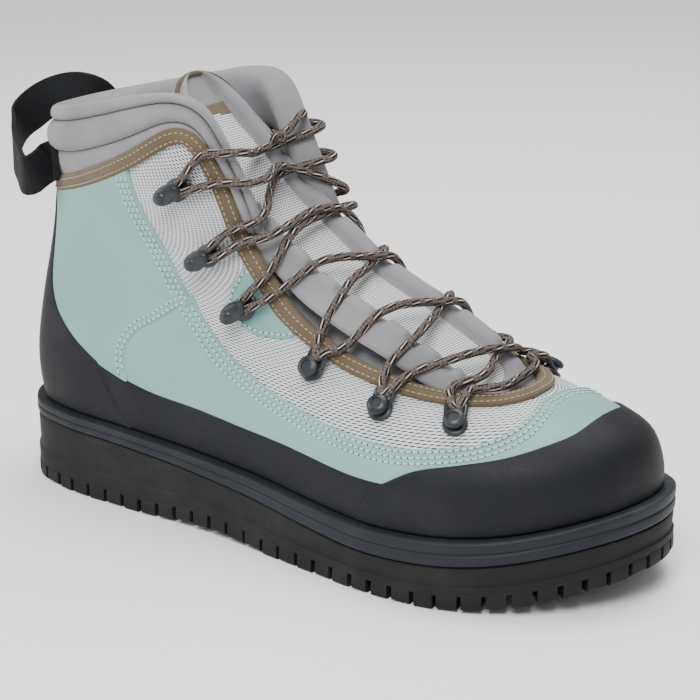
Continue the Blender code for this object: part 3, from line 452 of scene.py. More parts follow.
def panel(name, outline, lift, thickness, material, edge=1.2 * MM, spacing=3.0 * MM, relief=None):
    """A sheet wrapped on the upper inside a closed outline of places, its edge rolled down."""
    outline = even_outline(np.asarray(outline, float), 1.3 * MM)
    if np.cross(outline, np.roll(outline, -1, axis=0)).sum() < 0:
        outline = outline[::-1]
    rim = surface(outline)
    wrapped = np.vstack([outline[-3:], outline, outline[:3]])
    inwards = left_of(wrapped)[3:-3]
    kept = [outline]
    for share in (0.15, 0.45, 0.8, 1.25):
        ring = moved(outline, inwards * edge * share)
        far = nearness(surface(ring), rim)
        kept.append(ring[(far > 0.8 * edge * share) & inside(ring * FLAT_SCALE, outline * FLAT_SCALE)])
    low, high = outline.min(0), outline.max(0)
    counts = np.maximum(((high - low) * FLAT_SCALE / spacing).astype(int), 2)
    grid_u, grid_v = np.meshgrid(*[np.linspace(low[i], high[i], counts[i] + 1) for i in (0, 1)])
    grid_u[::2] += 0.5 * (high[0] - low[0]) / counts[0]
    grid = np.stack([grid_u.ravel(), grid_v.ravel()], -1)
    grid = grid[inside(grid * FLAT_SCALE, outline * FLAT_SCALE)]
    grid = grid[nearness(surface(grid), rim) > 1.6 * edge]
    places = np.vstack(kept + [grid])
    flat = [Vector(p) for p in places * FLAT_SCALE]
    edges = [(i, (i + 1) % len(outline)) for i in range(len(outline))]
    found, _, faces = delaunay_2d_cdt(flat, edges, [], 1, 1e-7)[:3]
    places = np.array([tuple(p) for p in found]) / FLAT_SCALE
    depth = np.clip(nearness(surface(places), rim) / edge, 0, 1)
    offset = lift + thickness * np.sqrt(1 - (1 - depth)**2)
    if relief is not None:
        offset = offset + relief(places) * depth
    return make_piece(name, surface(places, offset), faces, material, cloth_metres(places))


def stitches(name, rows, thread, hole_shade, pitch=2.9 * MM, size=2.2 * MM, radius=0.42 * MM):
    """Rows of stitches along lines of points with normals, and dark dots of painted shade for the holes
    between them.
    """
    # along the stitch and its width, as shares of size and radius
    rings = [(-0.5, 0.25), (-0.38, 0.85), (0.0, 1.0), (0.38, 0.85), (0.5, 0.25)]
    sides = 6
    turn = np.linspace(0, 2 * np.pi, sides, endpoint=False)
    points, faces, shade_dots, shade_dot_faces = [], [], [], []
    for line, out in rows:
        run = run_of(line)
        at = np.arange(0.5 * pitch, run[-1], pitch)
        way = unit(sampled(at + 0.3 * MM, run, line) - sampled(at - 0.3 * MM, run, line))
        up = unit(sampled(at, run, out))
        for p, w, s, n in zip(sampled(at, run, line), way, np.cross(up, way), up):
            first = len(points)
            for along, wide in rings:
                arch = 0.5 * radius * (1 - (2 * along)**2)
                for t in turn:
                    points.append(p + w * along * size + n * arch
                                  + radius * wide * (math.cos(t) * s + 0.75 * math.sin(t) * n))
            for ring in range(len(rings) - 1):
                for i in range(sides):
                    a, b = first + ring * sides + i, first + ring * sides + (i + 1) % sides
                    faces.append((a, b, b + sides, a + sides))
            # Painted shade: a small dark dot sunk where the thread's hole is.
            centre = p + w * pitch / 2 - n * 0.05 * MM
            first = len(shade_dots)
            for t in turn:
                shade_dots.append(centre + radius * (0.8 * math.cos(t) * w + 1.25 * math.sin(t) * s))
            shade_dots.extend([centre + 0.06 * MM * n, centre - 0.3 * MM * n])
            for i in range(sides):
                j = (i + 1) % sides
                shade_dot_faces.append((first + i, first + j, first + sides))
                shade_dot_faces.append((first + j, first + i, first + sides + 1))
    return make_piece(name, points, faces, thread), make_piece(name + "_holes", shade_dots, shade_dot_faces, hole_shade)


def seam_row(place, lift):
    """Points and normals over a line of places, ready for stitches."""
    place = np.asarray(place, float)
    return surface(place, lift), normal(place[:, 0], place[:, 1])


# Materials
class Finish:
    """A Principled material with a few helpers that chain nodes."""

    def __init__(self, name, colour, roughness, **extra):
        self.material = bpy.data.materials.new(name)
        self.material.use_nodes = True
        self.tree = self.material.node_tree
        self.shader = self.tree.nodes["Principled BSDF"]
        self.shader.inputs["Base Color"].default_value = (*colour, 1)
        self.shader.inputs["Roughness"].default_value = roughness
        for key, value in extra.items():
            socket = key.replace("_", " ").title().replace("Ior", "IOR")
            self.shader.inputs[socket].default_value = value

    def node(self, kind, **inputs):
        made = self.tree.nodes.new("ShaderNode" + kind)
        for key, value in inputs.items():
            self.plug(made.inputs[key.replace("_", " ")], value)
        return made

    def plug(self, socket, value):
        if isinstance(value, bpy.types.NodeSocket):
            self.tree.links.new(value, socket)
        else:
            socket.default_value = value

    def math(self, operation, *values):
        made = self.tree.nodes.new("ShaderNodeMath")
        made.operation = operation
        for socket, value in zip(made.inputs, values):
            self.plug(socket, value)
        return made.outputs[0]

    def wave(self, value, length):
        return self.math("SINE", self.math("MULTIPLY", value, 2 * math.pi / length))

    def cloth(self):
        """The place on the cloth, and metres across and along it."""
        where = self.tree.nodes.new("ShaderNodeUVMap")
        where.uv_map = "cloth"
        parts = self.node("SeparateXYZ", Vector=where.outputs[0])
        return where.outputs[0], parts.outputs[0], parts.outputs[1]

    def place(self):
        return self.tree.nodes.new("ShaderNodeTexCoord").outputs["Object"]

    def noise(self, vector, scale, detail=3.0, roughness=0.55):
        made = self.node("TexNoise", Vector=vector, Scale=scale, Detail=detail, Roughness=roughness)
        return made.outputs[0]

    def ramp(self, value, low, high, start=0.0, end=1.0):
        made = self.node("MapRange", Value=value)
        made.interpolation_type = "SMOOTHSTEP"
        for key, number in (("From Min", low), ("From Max", high), ("To Min", start), ("To Max", end)):
            made.inputs[key].default_value = number
        return made.outputs[0]

    def mix(self, share, one, two):
        made = self.tree.nodes.new("ShaderNodeMix")
        made.data_type = "RGBA"
        self.plug(made.inputs[0], share)
        for socket, value in zip([s for s in made.inputs if s.type == "RGBA"], (one, two)):
            self.plug(socket, (*value, 1) if isinstance(value, tuple) else value)
        return [s for s in made.outputs if s.type == "RGBA"][0]

    def bump(self, height, distance, strength=1.0):
        made = self.node("Bump", Height=height, Distance=distance, Strength=strength)
        old = self.shader.inputs["Normal"].links
        if old:
            self.tree.links.new(old[0].from_socket, made.inputs["Normal"])
        self.tree.links.new(made.outputs[0], self.shader.inputs["Normal"])

    def colour(self, value):
        self.plug(self.shader.inputs["Base Color"], value)

    def roughness(self, value):
        self.plug(self.shader.inputs["Roughness"], value)


def holes_pattern(finish, wide, high, hole_wide, hole_high):
    """0 on the threads and 1 in the gaps of a knitted mesh, its rows set off by half a gap; the gaps
    get painted shade.
    """
    node = finish.math
    _, u, v = finish.cloth()
    row = node("DIVIDE", v, high)
    odd = node("MULTIPLY", node("FLOORED_MODULO", node("FLOOR", row), 2.0), 0.5)
    across = node("SUBTRACT", node("FRACT", node("ADD", node("DIVIDE", u, wide), odd)), 0.5)
    up = node("SUBTRACT", node("FRACT", row), 0.5)
    across, up = node("DIVIDE", across, hole_wide), node("DIVIDE", up, hole_high)
    far = node("ADD", node("MULTIPLY", across, across), node("MULTIPLY", up, up))
    return finish.ramp(node("SQRT", far), 0.75, 1.25, 1.0, 0.0)


def mesh_finish(name, wide, high, thread, gap):
    finish = Finish(name, thread, 0.8, sheen_weight=0.15)
    holes = holes_pattern(finish, wide, high, 0.36, 0.25)
    grain = finish.noise(finish.cloth()[0], 2200.0, 2.0)
    light = finish.mix(finish.ramp(grain, 0.3, 0.7), tuple(0.80 * c for c in thread), thread)
    # Painted shade: the holes take the dark gap colour for the shade inside them.
    finish.colour(finish.mix(holes, light, gap))
    finish.bump(finish.math("SUBTRACT", 1.0, holes), 0.45 * MM, 0.8)
    finish.bump(grain, 0.10 * MM, 0.5)
    return finish.material


def mint_finish():
    finish = Finish("green_fabric", (0.24, 0.43, 0.40), 0.55, specular_ior_level=0.3)
    where = finish.place()
    cloud = finish.ramp(finish.noise(where, 14.0, 3.0), 0.3, 0.75)
    grain = finish.noise(where, 2600.0, 2.0)
    finish.colour(finish.mix(cloud, (0.175, 0.335, 0.310), (0.225, 0.400, 0.370)))
    finish.roughness(finish.ramp(grain, 0.2, 0.8, 0.50, 0.64))
    finish.bump(grain, 0.05 * MM, 0.35)
    finish.bump(finish.noise(where, 60.0, 2.0), 0.5 * MM, 0.12)
    return finish.material


def rubber_finish(name, colour, worn, roughness):
    """Moulded rubber or foam: fine grain, faint clouds and a few pale scuffs."""
    finish = Finish(name, colour, roughness, specular_ior_level=0.2)
    where = finish.place()
    grain = finish.noise(where, 1500.0, 3.0)
    cloud = finish.ramp(finish.noise(where, 25.0, 5.0, 0.65), 0.45, 0.75, 0.0, 0.6)
    scuff = finish.ramp(finish.noise(where, 160.0, 6.0, 0.7), 0.66, 0.74, 0.0, 0.5)
    finish.colour(finish.mix(finish.math("MAXIMUM", cloud, scuff), colour, worn))
    finish.roughness(finish.ramp(grain, 0.25, 0.75, roughness - 0.06, roughness + 0.1))
    finish.bump(grain, 0.12 * MM, 0.35)
    return finish.material


def padding_finish(name, colour, dark):
    """Brushed knit over foam: a very fine rib, soft clouds and sheen."""
    finish = Finish(name, colour, 0.82, sheen_weight=0.15)
    where = finish.place()
    grain = finish.noise(where, 3000.0, 2.0)
    finish.colour(finish.mix(finish.ramp(finish.noise(where, 30.0, 3.0), 0.3, 0.75), dark, colour))
    finish.bump(grain, 0.06 * MM, 0.5)
    finish.bump(finish.noise(where, 90.0, 2.0), 0.8 * MM, 0.15)
    return finish.material


def tape_finish():
    """Woven tape: a fine twill across it, brown to olive."""
    finish = Finish("tan_tape", (0.19, 0.135, 0.07), 0.8, sheen_weight=0.1)
    _, u, v = finish.cloth()
    slant = finish.math("ADD", v, finish.math("MULTIPLY", u, 0.7))
    twill = finish.wave(slant, 0.9 * MM)
    cloud = finish.ramp(finish.noise(finish.place(), 45.0, 3.0), 0.35, 0.65)
    base = finish.mix(cloud, (0.100, 0.079, 0.036), (0.140, 0.096, 0.053))
    finish.colour(finish.mix(finish.ramp(twill, -1.0, 1.0, 0.0, 0.5), base, (0.050, 0.036, 0.018)))
    finish.bump(twill, 0.12 * MM, 0.6)
    return finish.material


def webbing_finish():
    finish = Finish("black_webbing", (0.008, 0.0085, 0.010), 0.7, specular_ior_level=0.15)
    _, u, v = finish.cloth()
    weave = finish.math("MULTIPLY", finish.wave(v, 1.1 * MM), finish.wave(u, 0.9 * MM))
    finish.colour(finish.mix(finish.ramp(weave, -1.0, 1.0), (0.0045, 0.005, 0.006),
                             (0.012, 0.0125, 0.0145)))
    finish.bump(weave, 0.12 * MM, 0.5)
    return finish.material


def plastic_finish():
    finish = Finish("slate_plastic", (0.014, 0.017, 0.022), 0.34, specular_ior_level=0.4)
    where = finish.place()
    cloud = finish.ramp(finish.noise(where, 120.0, 4.0), 0.4, 0.7)
    finish.colour(finish.mix(cloud, (0.010, 0.0125, 0.017), (0.022, 0.026, 0.033)))
    finish.roughness(finish.ramp(finish.noise(where, 500.0, 3.0), 0.3, 0.7, 0.30, 0.46))
    finish.bump(finish.noise(where, 900.0, 2.0), 0.05 * MM, 0.3)
    return finish.material


def cord_finish():
    """Braided round cord: taupe, with black and pale dashes that wind slowly round it."""
    finish = Finish("taupe_cord", (0.11, 0.09, 0.08), 0.85, specular_ior_level=0.2)
    node = finish.math
    _, u, v = finish.cloth()
    wind = node("ADD", node("MULTIPLY", u, 3.0), node("DIVIDE", v, 24 * MM))
    step = node("MULTIPLY", node("FLOOR", wind), 0.37)
    dash = node("FRACT", node("ADD", node("DIVIDE", v, 7.5 * MM), step))
    dash = node("MULTIPLY", finish.ramp(dash, 0.05, 0.12), finish.ramp(dash, 0.70, 0.62))
    near = node("ABSOLUTE", node("SUBTRACT", node("FRACT", wind), 0.5))
    black = node("MULTIPLY", finish.ramp(near, 0.34, 0.28), dash)
    pale = node("MULTIPLY", finish.ramp(near, 0.10, 0.06), dash)
    across, along = node("MULTIPLY", u, 8.0), node("DIVIDE", v, 1.7 * MM)
    weave = node("MULTIPLY", finish.wave(node("ADD", across, along), 2.0),
                 finish.wave(node("SUBTRACT", across, along), 2.0))
    taupe = finish.mix(finish.ramp(weave, -1.0, 1.0), (0.060, 0.047, 0.041), (0.135, 0.108, 0.096))
    finish.colour(finish.mix(pale, finish.mix(black, taupe, (0.004, 0.004, 0.004)), (0.42, 0.37, 0.33)))
    finish.bump(weave, 0.25 * MM, 0.7)
    return finish.material


def thread_finish(name, colour):
    finish = Finish(name, colour, 0.6, sheen_weight=0.3)
    grain = finish.noise(finish.place(), 3500.0, 2.0)
    finish.colour(finish.mix(grain, tuple(0.7 * c for c in colour), colour))
    return finish.material


# Lines of the boot
def along_rows(rows, t):
    """Places on a table's smooth line at row numbers t; below 0 it runs on along the inner side."""
    t = np.asarray(t, float)
    found = spline(np.arange(len(rows)), rows, np.abs(t))
    return np.where(t[..., None] < 0, mirrored(found) - [1, 0], found)


def to_front(place):
    """The same places, with those of the inner side counted on past the toe."""
    return np.where(place[..., :1] < 0, place + [1, 0], place)


def hump(f, start, end):
    """A round roll between two shares, 0 outside them and 1 at its middle."""
    x = (f - (start + end) / 2) / ((end - start) / 2)
    return np.sqrt(np.clip(1 - x * x, 0, 1))


def smooth_places(table, step=2.0 * MM):
    """Places about a step apart on a smooth line through a table's."""
    table = np.asarray(table, float)
    run = run_of(table * FLAT_SCALE)
    return spline(run, table, np.linspace(0, run[-1], max(int(run[-1] / step), 4)))


def joined(parts):
    """Points and faces of several skins as one."""
    points, faces, first = [], [], 0
    for some_points, some_faces in parts:
        some_points = np.reshape(some_points, (-1, 3))
        points.append(some_points)
        faces.extend(tuple(first + i for i in f) for f in some_faces)
        first += len(some_points)
    return np.vstack(points), faces


def skin_of(sections):
    """A closed skin through rings, its two ends capped."""
    sections = np.asarray(sections)
    rows, columns = sections.shape[:2]
    faces = []
    for low in range(0, (rows - 1) * columns, columns):
        for c in range(columns):
            d = (c + 1) % columns
            faces.append((low + c, low + d, low + columns + d, low + columns + c))
    faces.append(tuple(reversed(range(columns))))
    faces.append(tuple((rows - 1) * columns + i for i in range(columns)))
    return sections.reshape(-1, 3), faces


def rod_of(path, radius, sides=10):
    """Points and faces of a plain round rod along a path."""
    return skin_of(rings_along(path, radius, sides, [0.21, 0.34, 0.92]))


def turned(*ovals, sides=24):
    """A body through level ovals, in millimetres: half length, half width, height, any shift ahead."""
    turn = np.linspace(0, 2 * np.pi, sides, endpoint=False)
    x, y = np.cos(turn), np.sin(turn)
    return skin_of([np.stack([a * x + sum(shift), b * y, np.full(sides, z)], -1) * MM
                    for a, b, z, *shift in ovals])


# Soft creases: start and end places, width and depth in millimetres, below 0 for a ridge
CREASES = [((0.155, 6.9), (0.212, 6.2), 5.0, 0.55), ((0.150, 6.3), (0.205, 5.6), 4.5, -0.30),
           ((0.085, 6.4), (0.120, 5.3), 6.0, 0.40), ((0.405, 3.35), (0.440, 4.15), 5.0, 0.45),
           ((0.380, 2.9), (0.405, 3.7), 5.5, 0.30), ((0.300, 2.4), (0.345, 2.75), 5.0, 0.30),
           ((0.170, 3.3), (0.215, 3.9), 7.0, 0.25), ((0.190, 8.6), (0.225, 7.6), 6.0, 0.30)]


def creases(places):
    """How far the cloth is pressed in or puffed out at each place, the same on both sides."""
    places = np.where(places[:, :1] > 0.5, [1, 0] - places * [1, -1], places)
    flat = places * FLAT_SCALE
    push = np.zeros(len(flat))
    for start, end, width, depth in CREASES:
        a, b = np.array(start) * FLAT_SCALE, np.array(end) * FLAT_SCALE
        t = np.clip((flat - a) @ (b - a) / ((b - a) @ (b - a)), 0, 1)
        far = np.linalg.norm(flat - a - t[:, None] * (b - a), axis=1)
        fade = np.sin(math.pi * np.clip(0.15 + 0.7 * t, 0, 1))
        push -= depth * MM * fade * np.exp(-(far / (0.5 * width * MM))**2)
    return push


# The upper: a mesh bootee and its lining
LIGHT = (0.70, 0.71, 0.72)
# The last colour of each mesh is painted shade, for the dark inside its holes.
mesh_cloth = mesh_finish("light_mesh", 2.9 * MM, 1.7 * MM, LIGHT, (0.020, 0.026, 0.040))
fine_mesh = mesh_finish("fine_mesh", 1.7 * MM, 1.2 * MM, (0.70, 0.71, 0.71), (0.08, 0.085, 0.095))
mint = mint_finish()
black_rubber = rubber_finish("black_rubber", (0.0075, 0.0080, 0.0095), (0.018, 0.0185, 0.020), 0.55)
tread_rubber = rubber_finish("tread_rubber", (0.0095, 0.0093, 0.0095), (0.026, 0.025, 0.0245), 0.65)
foam = rubber_finish("charcoal_foam", (0.0125, 0.0145, 0.0185), (0.024, 0.027, 0.033), 0.5)
padding = padding_finish("grey_padding", (0.225, 0.222, 0.235), (0.175, 0.173, 0.183))
lining_cloth = padding_finish("lining", (0.20, 0.20, 0.21), (0.15, 0.15, 0.157))
tape = tape_finish()
webbing = webbing_finish()
plastic = plastic_finish()
cord = cord_finish()
mint_thread = thread_finish("mint_thread", (0.50, 0.70, 0.66))
tan_thread = thread_finish("tan_thread", (0.36, 0.23, 0.12))
dark_thread = thread_finish("dark_thread", (0.03, 0.03, 0.033))
# Painted shade: the dark colour of the stitch holes.
stitch_hole_shade = thread_finish("stitch_hole_shade", (0.030, 0.045, 0.045))

edge_places = to_front(along_rows(EDGE, np.linspace(0, len(EDGE) - 1, 120)))
half_outline = np.vstack([edge_places, [(0.5, 0.02), (0.0, 0.02)]])
for side in SIDES:
    outline = on_side(side, half_outline)
    shell = panel("mesh_upper_" + side, outline, 0.0, 0.0, mesh_cloth, relief=creases)
    dress(shell, "light_mesh", "upper")
    inner = panel("lining_" + side, outline, -WALL, 0.0, lining_cloth, spacing=5 * MM)
    inner.data.flip_normals()
    dress(inner, "grey_padding")

# The green panels, the rear one lapped over the front one
seam = smooth_places(MESH_SEAM)
rear_seam = smooth_places(REAR_SEAM)
turn_row = int(np.abs(seam - REAR_SEAM[0]).sum(1).argmin())
collar_edge = edge_places[edge_places[:, 0] < 0.250]
under_counter = [(0.14, 1.55), (0.10, 2.0), (0.06, 3.8), (0.02, 5.2)]
quarter = np.vstack([collar_edge[1:], seam[:turn_row + 1], rear_seam, under_counter])
quarter[:, 0] = np.maximum(quarter[:, 0], 0.004)
front_top = np.vstack([beside(rear_seam, -4 * MM)[::-1], seam[turn_row + 1:]])
under_rand = np.vstack([RAND_TOP[1:], CAP_TOP[1:]]) - [0, 0.45]
vamp = np.vstack([front_top, mirrored(front_top[:-1])[::-1],
                  mirrored(under_rand[:-1]), under_rand[::-1]])
patch = smooth_places(PATCH)


def lay_green(name, outline, thickness, node, relief=None):
    sheet = panel(name, outline, 0.0, thickness, mint, GREEN_EDGE, relief=relief)
    dress(sheet, "green_fabric", node)


def lay_rubber(name, outline, lift, thickness, edge, node):
    """A rubber skin; its lift, thickness and edge are in millimetres."""
    skin = panel(name, outline, lift * MM, thickness * MM, black_rubber, edge * MM)
    dress(skin, "black_rubber", node)


lay_green("vamp_green", vamp, VAMP_SHEET, "vamp_panel", creases)
for side in SIDES:
    lay_green("quarter_green_" + side, on_side(side, quarter), QUARTER_SHEET, "quarter_" + side,
              creases)
    lay_green("patch_green_" + side, on_side(side, patch), PATCH_SHEET, "patch_" + side)

# The black rubber: heel counter and toe cap over the side rands
counter_top = smooth_places(COUNTER_TOP)
counter_side = np.vstack([counter_top, smooth_places(COUNTER_FRONT)])
counter_loop = np.vstack([counter_side, (mirrored(counter_side) - [1, 0])[::-1]])
lay_rubber("counter_rubber", counter_loop, 0.2, 1.9, 1.3, "heel_counter")
cap_side = np.vstack([smooth_places(CAP_BACK)[::-1], smooth_places(CAP_TOP)])
cap_loop = np.vstack([cap_side, mirrored(cap_side[:-1])[::-1]])
lay_rubber("cap_rubber", cap_loop, 0.2, 1.9, 1.3, "toe_cap")
rand = np.vstack([[(0.118, 0.02), (0.110, 2.1)], smooth_places(RAND_TOP), [(0.338, 0.02)]])
for side in SIDES:
    lay_rubber("rand_rubber_" + side, on_side(side, rand), 0.0, 1.6, 1.2, "rand_" + side)

# The tape round the whole top edge, folded over it
half_way = len(EDGE) - 1
stations = np.linspace(0, 2 * half_way, 2 * TOE_STATION)
loop = np.where((stations > half_way)[:, None],
                mirrored(along_rows(EDGE, 2 * half_way - stations)), along_rows(EDGE, stations))
loop_points = surface(loop)
loop_way = unit(np.gradient(loop_points, axis=0))
loop_way[[0, -1]] = (0, -1, 0)
loop_out = normal(loop[:, 0], loop[:, 1])
loop_in = np.cross(loop_way, loop_out)
wide = BINDING_WIDTH / MM
fold = [(wide, 0.1), (wide, 1.55), (wide - 0.5, 1.95), (0.55 * wide, 2.15), (0.9, 2.1), (-0.2, 1.7),
        (-0.9, 0.6), (-1.1, -0.9), (-0.9, -2.4), (-0.2, -3.3), (1.2, -3.7), (5.0, -3.6), (5.4, -2.8)]
sections = []
for back, out in fold:
    if back > 0:
        sections.append(surface(moved(loop, loop_in * back * MM), out * MM))
    else:
        sections.append(loop_points + (loop_in * back + loop_out * out) * MM)
sections = np.stack(sections, 1)[:, ::-1]
dress(loft("edge_tape", sections, tape, caps=False, smooth=80), "tan_tape", "binding")

# Stitches on the panels
seam_in = smooth_places(MESH_SEAM, 1.5 * MM)
rear_in = smooth_places(REAR_SEAM, 1.5 * MM)
green_rows, tape_rows = [], []
for side in SIDES:
    for gap in (1.6, 4.2, 6.8):
        line = beside(seam_in, gap * -MM)
        line = line[line[:, 0] < 0.499][6:]
        on_quarter = line[:, 1] > REAR_SEAM[0][1]
        green_rows.append(seam_row(on_side(side, line[on_quarter]), QUARTER_SHEET + 0.10 * MM))
        green_rows.append(seam_row(on_side(side, line[~on_quarter]), VAMP_SHEET + 0.10 * MM))
        if gap < 6:
            rear = beside(rear_in, gap * -MM)[4:-2]
            green_rows.append(seam_row(on_side(side, rear), QUARTER_SHEET + 0.10 * MM))
    ring = beside(patch, 1.8 * MM)[3:-3]
    green_rows.append(seam_row(on_side(side, ring), PATCH_SHEET + 0.12 * MM))
for back in (1.5, 5.0):
    tape_rows.append((surface(moved(loop, loop_in * back * MM), 2.15 * MM), loop_out))
for piece in stitches("green_stitches", green_rows, mint_thread, stitch_hole_shade):
    dress(piece, "green_fabric")
for piece in stitches("tape_stitches", tape_rows, tan_thread, stitch_hole_shade,
                      2.6 * MM, 1.9 * MM, 0.34 * MM):
    dress(piece, "tan_tape")


# The padded collar: a lower band, a groove, a full roll and a welt, then down inside
def collar_grooves(t):
    """Shares of the collar's height at which its two sewn grooves run."""
    return (np.interp(t, [0, 3, 5, 7, 8.5], [0.37, 0.34, 0.30, 0.18, 0.04]),
            np.interp(t, [0, 5, 7, 9, 12], [0.83, 0.83, 0.76, 0.56, 0.52]))


def collar_ring(t):
    reach = len(RIM) - 1
    full = bump_shape((reach + 0.3 - abs(t)) / 3.0)
    edge, rim = along_rows(EDGE, t), along_rows(RIM, t)
    bulge = COLLAR_BULGE * (0.35 + 0.65 * full)
    pad = COLLAR_PAD * (0.45 + 0.55 * full)
    places, offsets = [], []
    first, second = collar_grooves(abs(t))
    rolls = ((-0.06, first, 0.50, 7), (first, second, 1.20, 12), (second, 1.06, 1.0, 8))
    for start, end, high, count in rolls:
        turns = np.linspace(0, math.pi, count + 1)[:-1]
        if end > 1:
            turns = np.linspace(0, 0.8 * math.pi, count)
        for x in (1 - np.cos(turns)) / 2:
            f = start + (end - start) * x
            places.append(edge + (rim - edge) * f)
            offsets.append(bulge * (high * hump(f, start, end) - 0.12))
    for f, inwards in ((1.03, 0.0), (1.045, -0.25), (1.03, -0.55), (0.97, -0.85), (0.85, -1.02),
                       (0.65, -1.10), (0.40, -1.06), (0.12, -0.96)):
        places.append(edge + (rim - edge) * f)
        offsets.append(pad * inwards + 0.3 * bulge * (inwards == 0))
    points = [surface(p, o) for p, o in zip(places, offsets)]
    way = (edge - rim) * FLAT_SCALE
    step = way / np.linalg.norm(way) / FLAT_SCALE * MM * (0.5 + 0.5 * full)
    for drop, inwards in ((5, -0.85), (10, -0.70), (15, -0.50)):
        points.append(surface(edge + step * drop, -max(pad * -inwards, WALL + 1 * MM)))
    points.append(surface(edge + step * 15, -WALL - LINING_GAP))
    points.append(surface(edge, -WALL - LINING_GAP))
    return points


rows = np.linspace(-(len(RIM) - 1), len(RIM) - 1, 181)
collar = loft("collar_pad", np.array([collar_ring(t) for t in rows])[:, ::-1], padding, smooth=80)
dress(collar, "grey_padding", "collar")


def collar_line(which):
    """Points and normals along one of the collar's grooves."""
    edge, rim = along_rows(EDGE, rows), along_rows(RIM, rows)
    place = edge + (rim - edge) * collar_grooves(np.abs(rows))[which][:, None]
    if which == 0:
        place = place[np.abs(rows) < 6.5]
    return seam_row(place, 0.0)


for piece in stitches("collar_stitches", [collar_line(0), collar_line(1)], dark_thread, stitch_hole_shade,
                      2.8 * MM, 2.2 * MM, 0.35 * MM):
    dress(piece, "grey_padding")


# Hooks
def hook_frame(number, side):
    """Seat of a hook, the direction to the throat and the direction out."""
    around, level, lift = HOOKS[number]
    place = np.array([around if side == "outer" else 1 - around, level])
    seat, out = surface(place), normal(place[0], place[1])
    edge = surface(loop[THROAT])
    to_throat = edge[np.linalg.norm(edge - seat, axis=1).argmin()] - seat
    return seat + out * lift * MM, unit(to_throat - out * (to_throat @ out)), out


def arch_of(points, count, radius):
    """A rod along a smooth line through a few points, in millimetres."""
    return rod_of(smooth_line(np.array(points) * MM, count), radius * MM)


def open_hook():
    half = HOOK_WIDTH / 2 / MM
    foot = turned((0.85 * half, 0.75 * half, -0.6), (1.10 * half, 0.92 * half, 0.2),
                  (1.10 * half, 0.92 * half, 0.9), (0.95 * half, 0.80 * half, 1.5),
                  (0.45 * half, 0.42 * half, 1.9))
    neck = turned((2.3, 2.0, 1.2, 0), (1.9, 1.7, 3.2, -0.5), (2.1, 1.9, 6.2, -1.4))
    head = turned((2.6, 1.6, 5.4, -1.6), (6.0, 3.3, 5.9, -1.6), (7.2, 4.2, 6.9, -1.6),
                  (6.9, 4.0, 8.0, -1.6), (5.2, 2.9, 8.8, -1.6), (2.2, 1.2, 9.1, -1.6))
    guard = arch_of([(3.4, -2.6, 0.9), (6.4, -2.4, 1.5), (8.2, -1.3, 2.6), (8.6, 0, 3.1),
                     (8.2, 1.3, 2.6), (6.4, 2.4, 1.5), (3.4, 2.6, 0.9)], 22, 0.95)
    ball = turned((2.9, 2.5, 8.0, -4.4), (2.8, 2.4, 9.0, -4.4), (2.1, 1.8, 9.7, -4.4),
                  (0.9, 0.8, 10.0, -4.4))
    ridge = arch_of([(-2.2, -2.6, 8.3), (1.2, -2.5, 8.3), (3.6, -1.4, 8.2), (4.4, 0, 8.1),
                     (3.6, 1.4, 8.2), (1.2, 2.5, 8.3), (-2.2, 2.6, 8.3)], 20, 0.55)
    return joined([foot, neck, head, guard, ball, ridge])


def stud_hook():
    half = HOOK_WIDTH / 2 / MM
    foot = turned((0.80 * half, 0.80 * half, -0.6), (0.98 * half, 0.95 * half, 0.2),
                  (0.98 * half, 0.95 * half, 1.0), (0.80 * half, 0.78 * half, 1.6))
    stud = turned(*[(r, r, z) for r, z in ((3.1, 1.2), (3.0, 3.6), (4.2, 4.1), (4.6, 4.9), (4.3, 5.8),
                                           (3.3, 6.5), (2.4, 6.7), (2.2, 6.2))])
    arms = [arch_of([(1.0, s * 3.2, 1.6), (4.5, s * 3.9, 2.6), (7.6, s * 3.6, 3.4), (8.6, s * 2.0, 3.9),
                     (8.8, 0, 4.1)], 16, 1.05) for s in (-1, 1)]
    return joined([foot, stud] + arms)


for number in range(len(HOOKS)):
    points, faces = open_hook() if number < OPEN_HOOKS else stud_hook()
    for side in SIDES:
        seat, to_throat, out = hook_frame(number, side)
        axes = np.stack([to_throat, np.cross(out, to_throat), out])
        node = "hook_%s_%d" % (side, number + 1)
        piece = make_piece(node + "_look", points @ axes + seat, faces, plastic, smooth=35)
        dress(piece, "slate_plastic", node)


# Laces
def tongue_frame(share):
    line = placed(np.insert(np.array(TONGUE_LINE), 1, 0, axis=1))[:, [0, 2]]
    run = run_of(line)
    nudge = 0.01
    here, low, high = [spline(run, line, np.clip(share + d, 0, 1) * run[-1])
                       for d in (0, -nudge, nudge)]
    way = unit(high - low)
    return here, way, np.stack([way[..., 1], -way[..., 0]], -1)


def tongue_width(share):
    rows = np.array([(0.0, 0.74), (0.15, 0.96), (0.35, 1.0), (0.65, 0.96), (0.8, 0.82), (0.92, 0.72),
                     (1.0, 0.62)])
    return TONGUE_HALF_WIDTH * spline(rows[:, 0], rows[:, 1:], share)[..., 0]


def tongue_point(share, across, height):
    here, _, out = tongue_frame(share)
    spot = here + out * np.asarray(height)[..., None]
    return np.stack([spot[..., 0], np.broadcast_to(across, spot[..., 0].shape), spot[..., 1]], -1)


hook_spots = {(n, side): hook_frame(n, side) for n in range(len(HOOKS)) for side in SIDES}


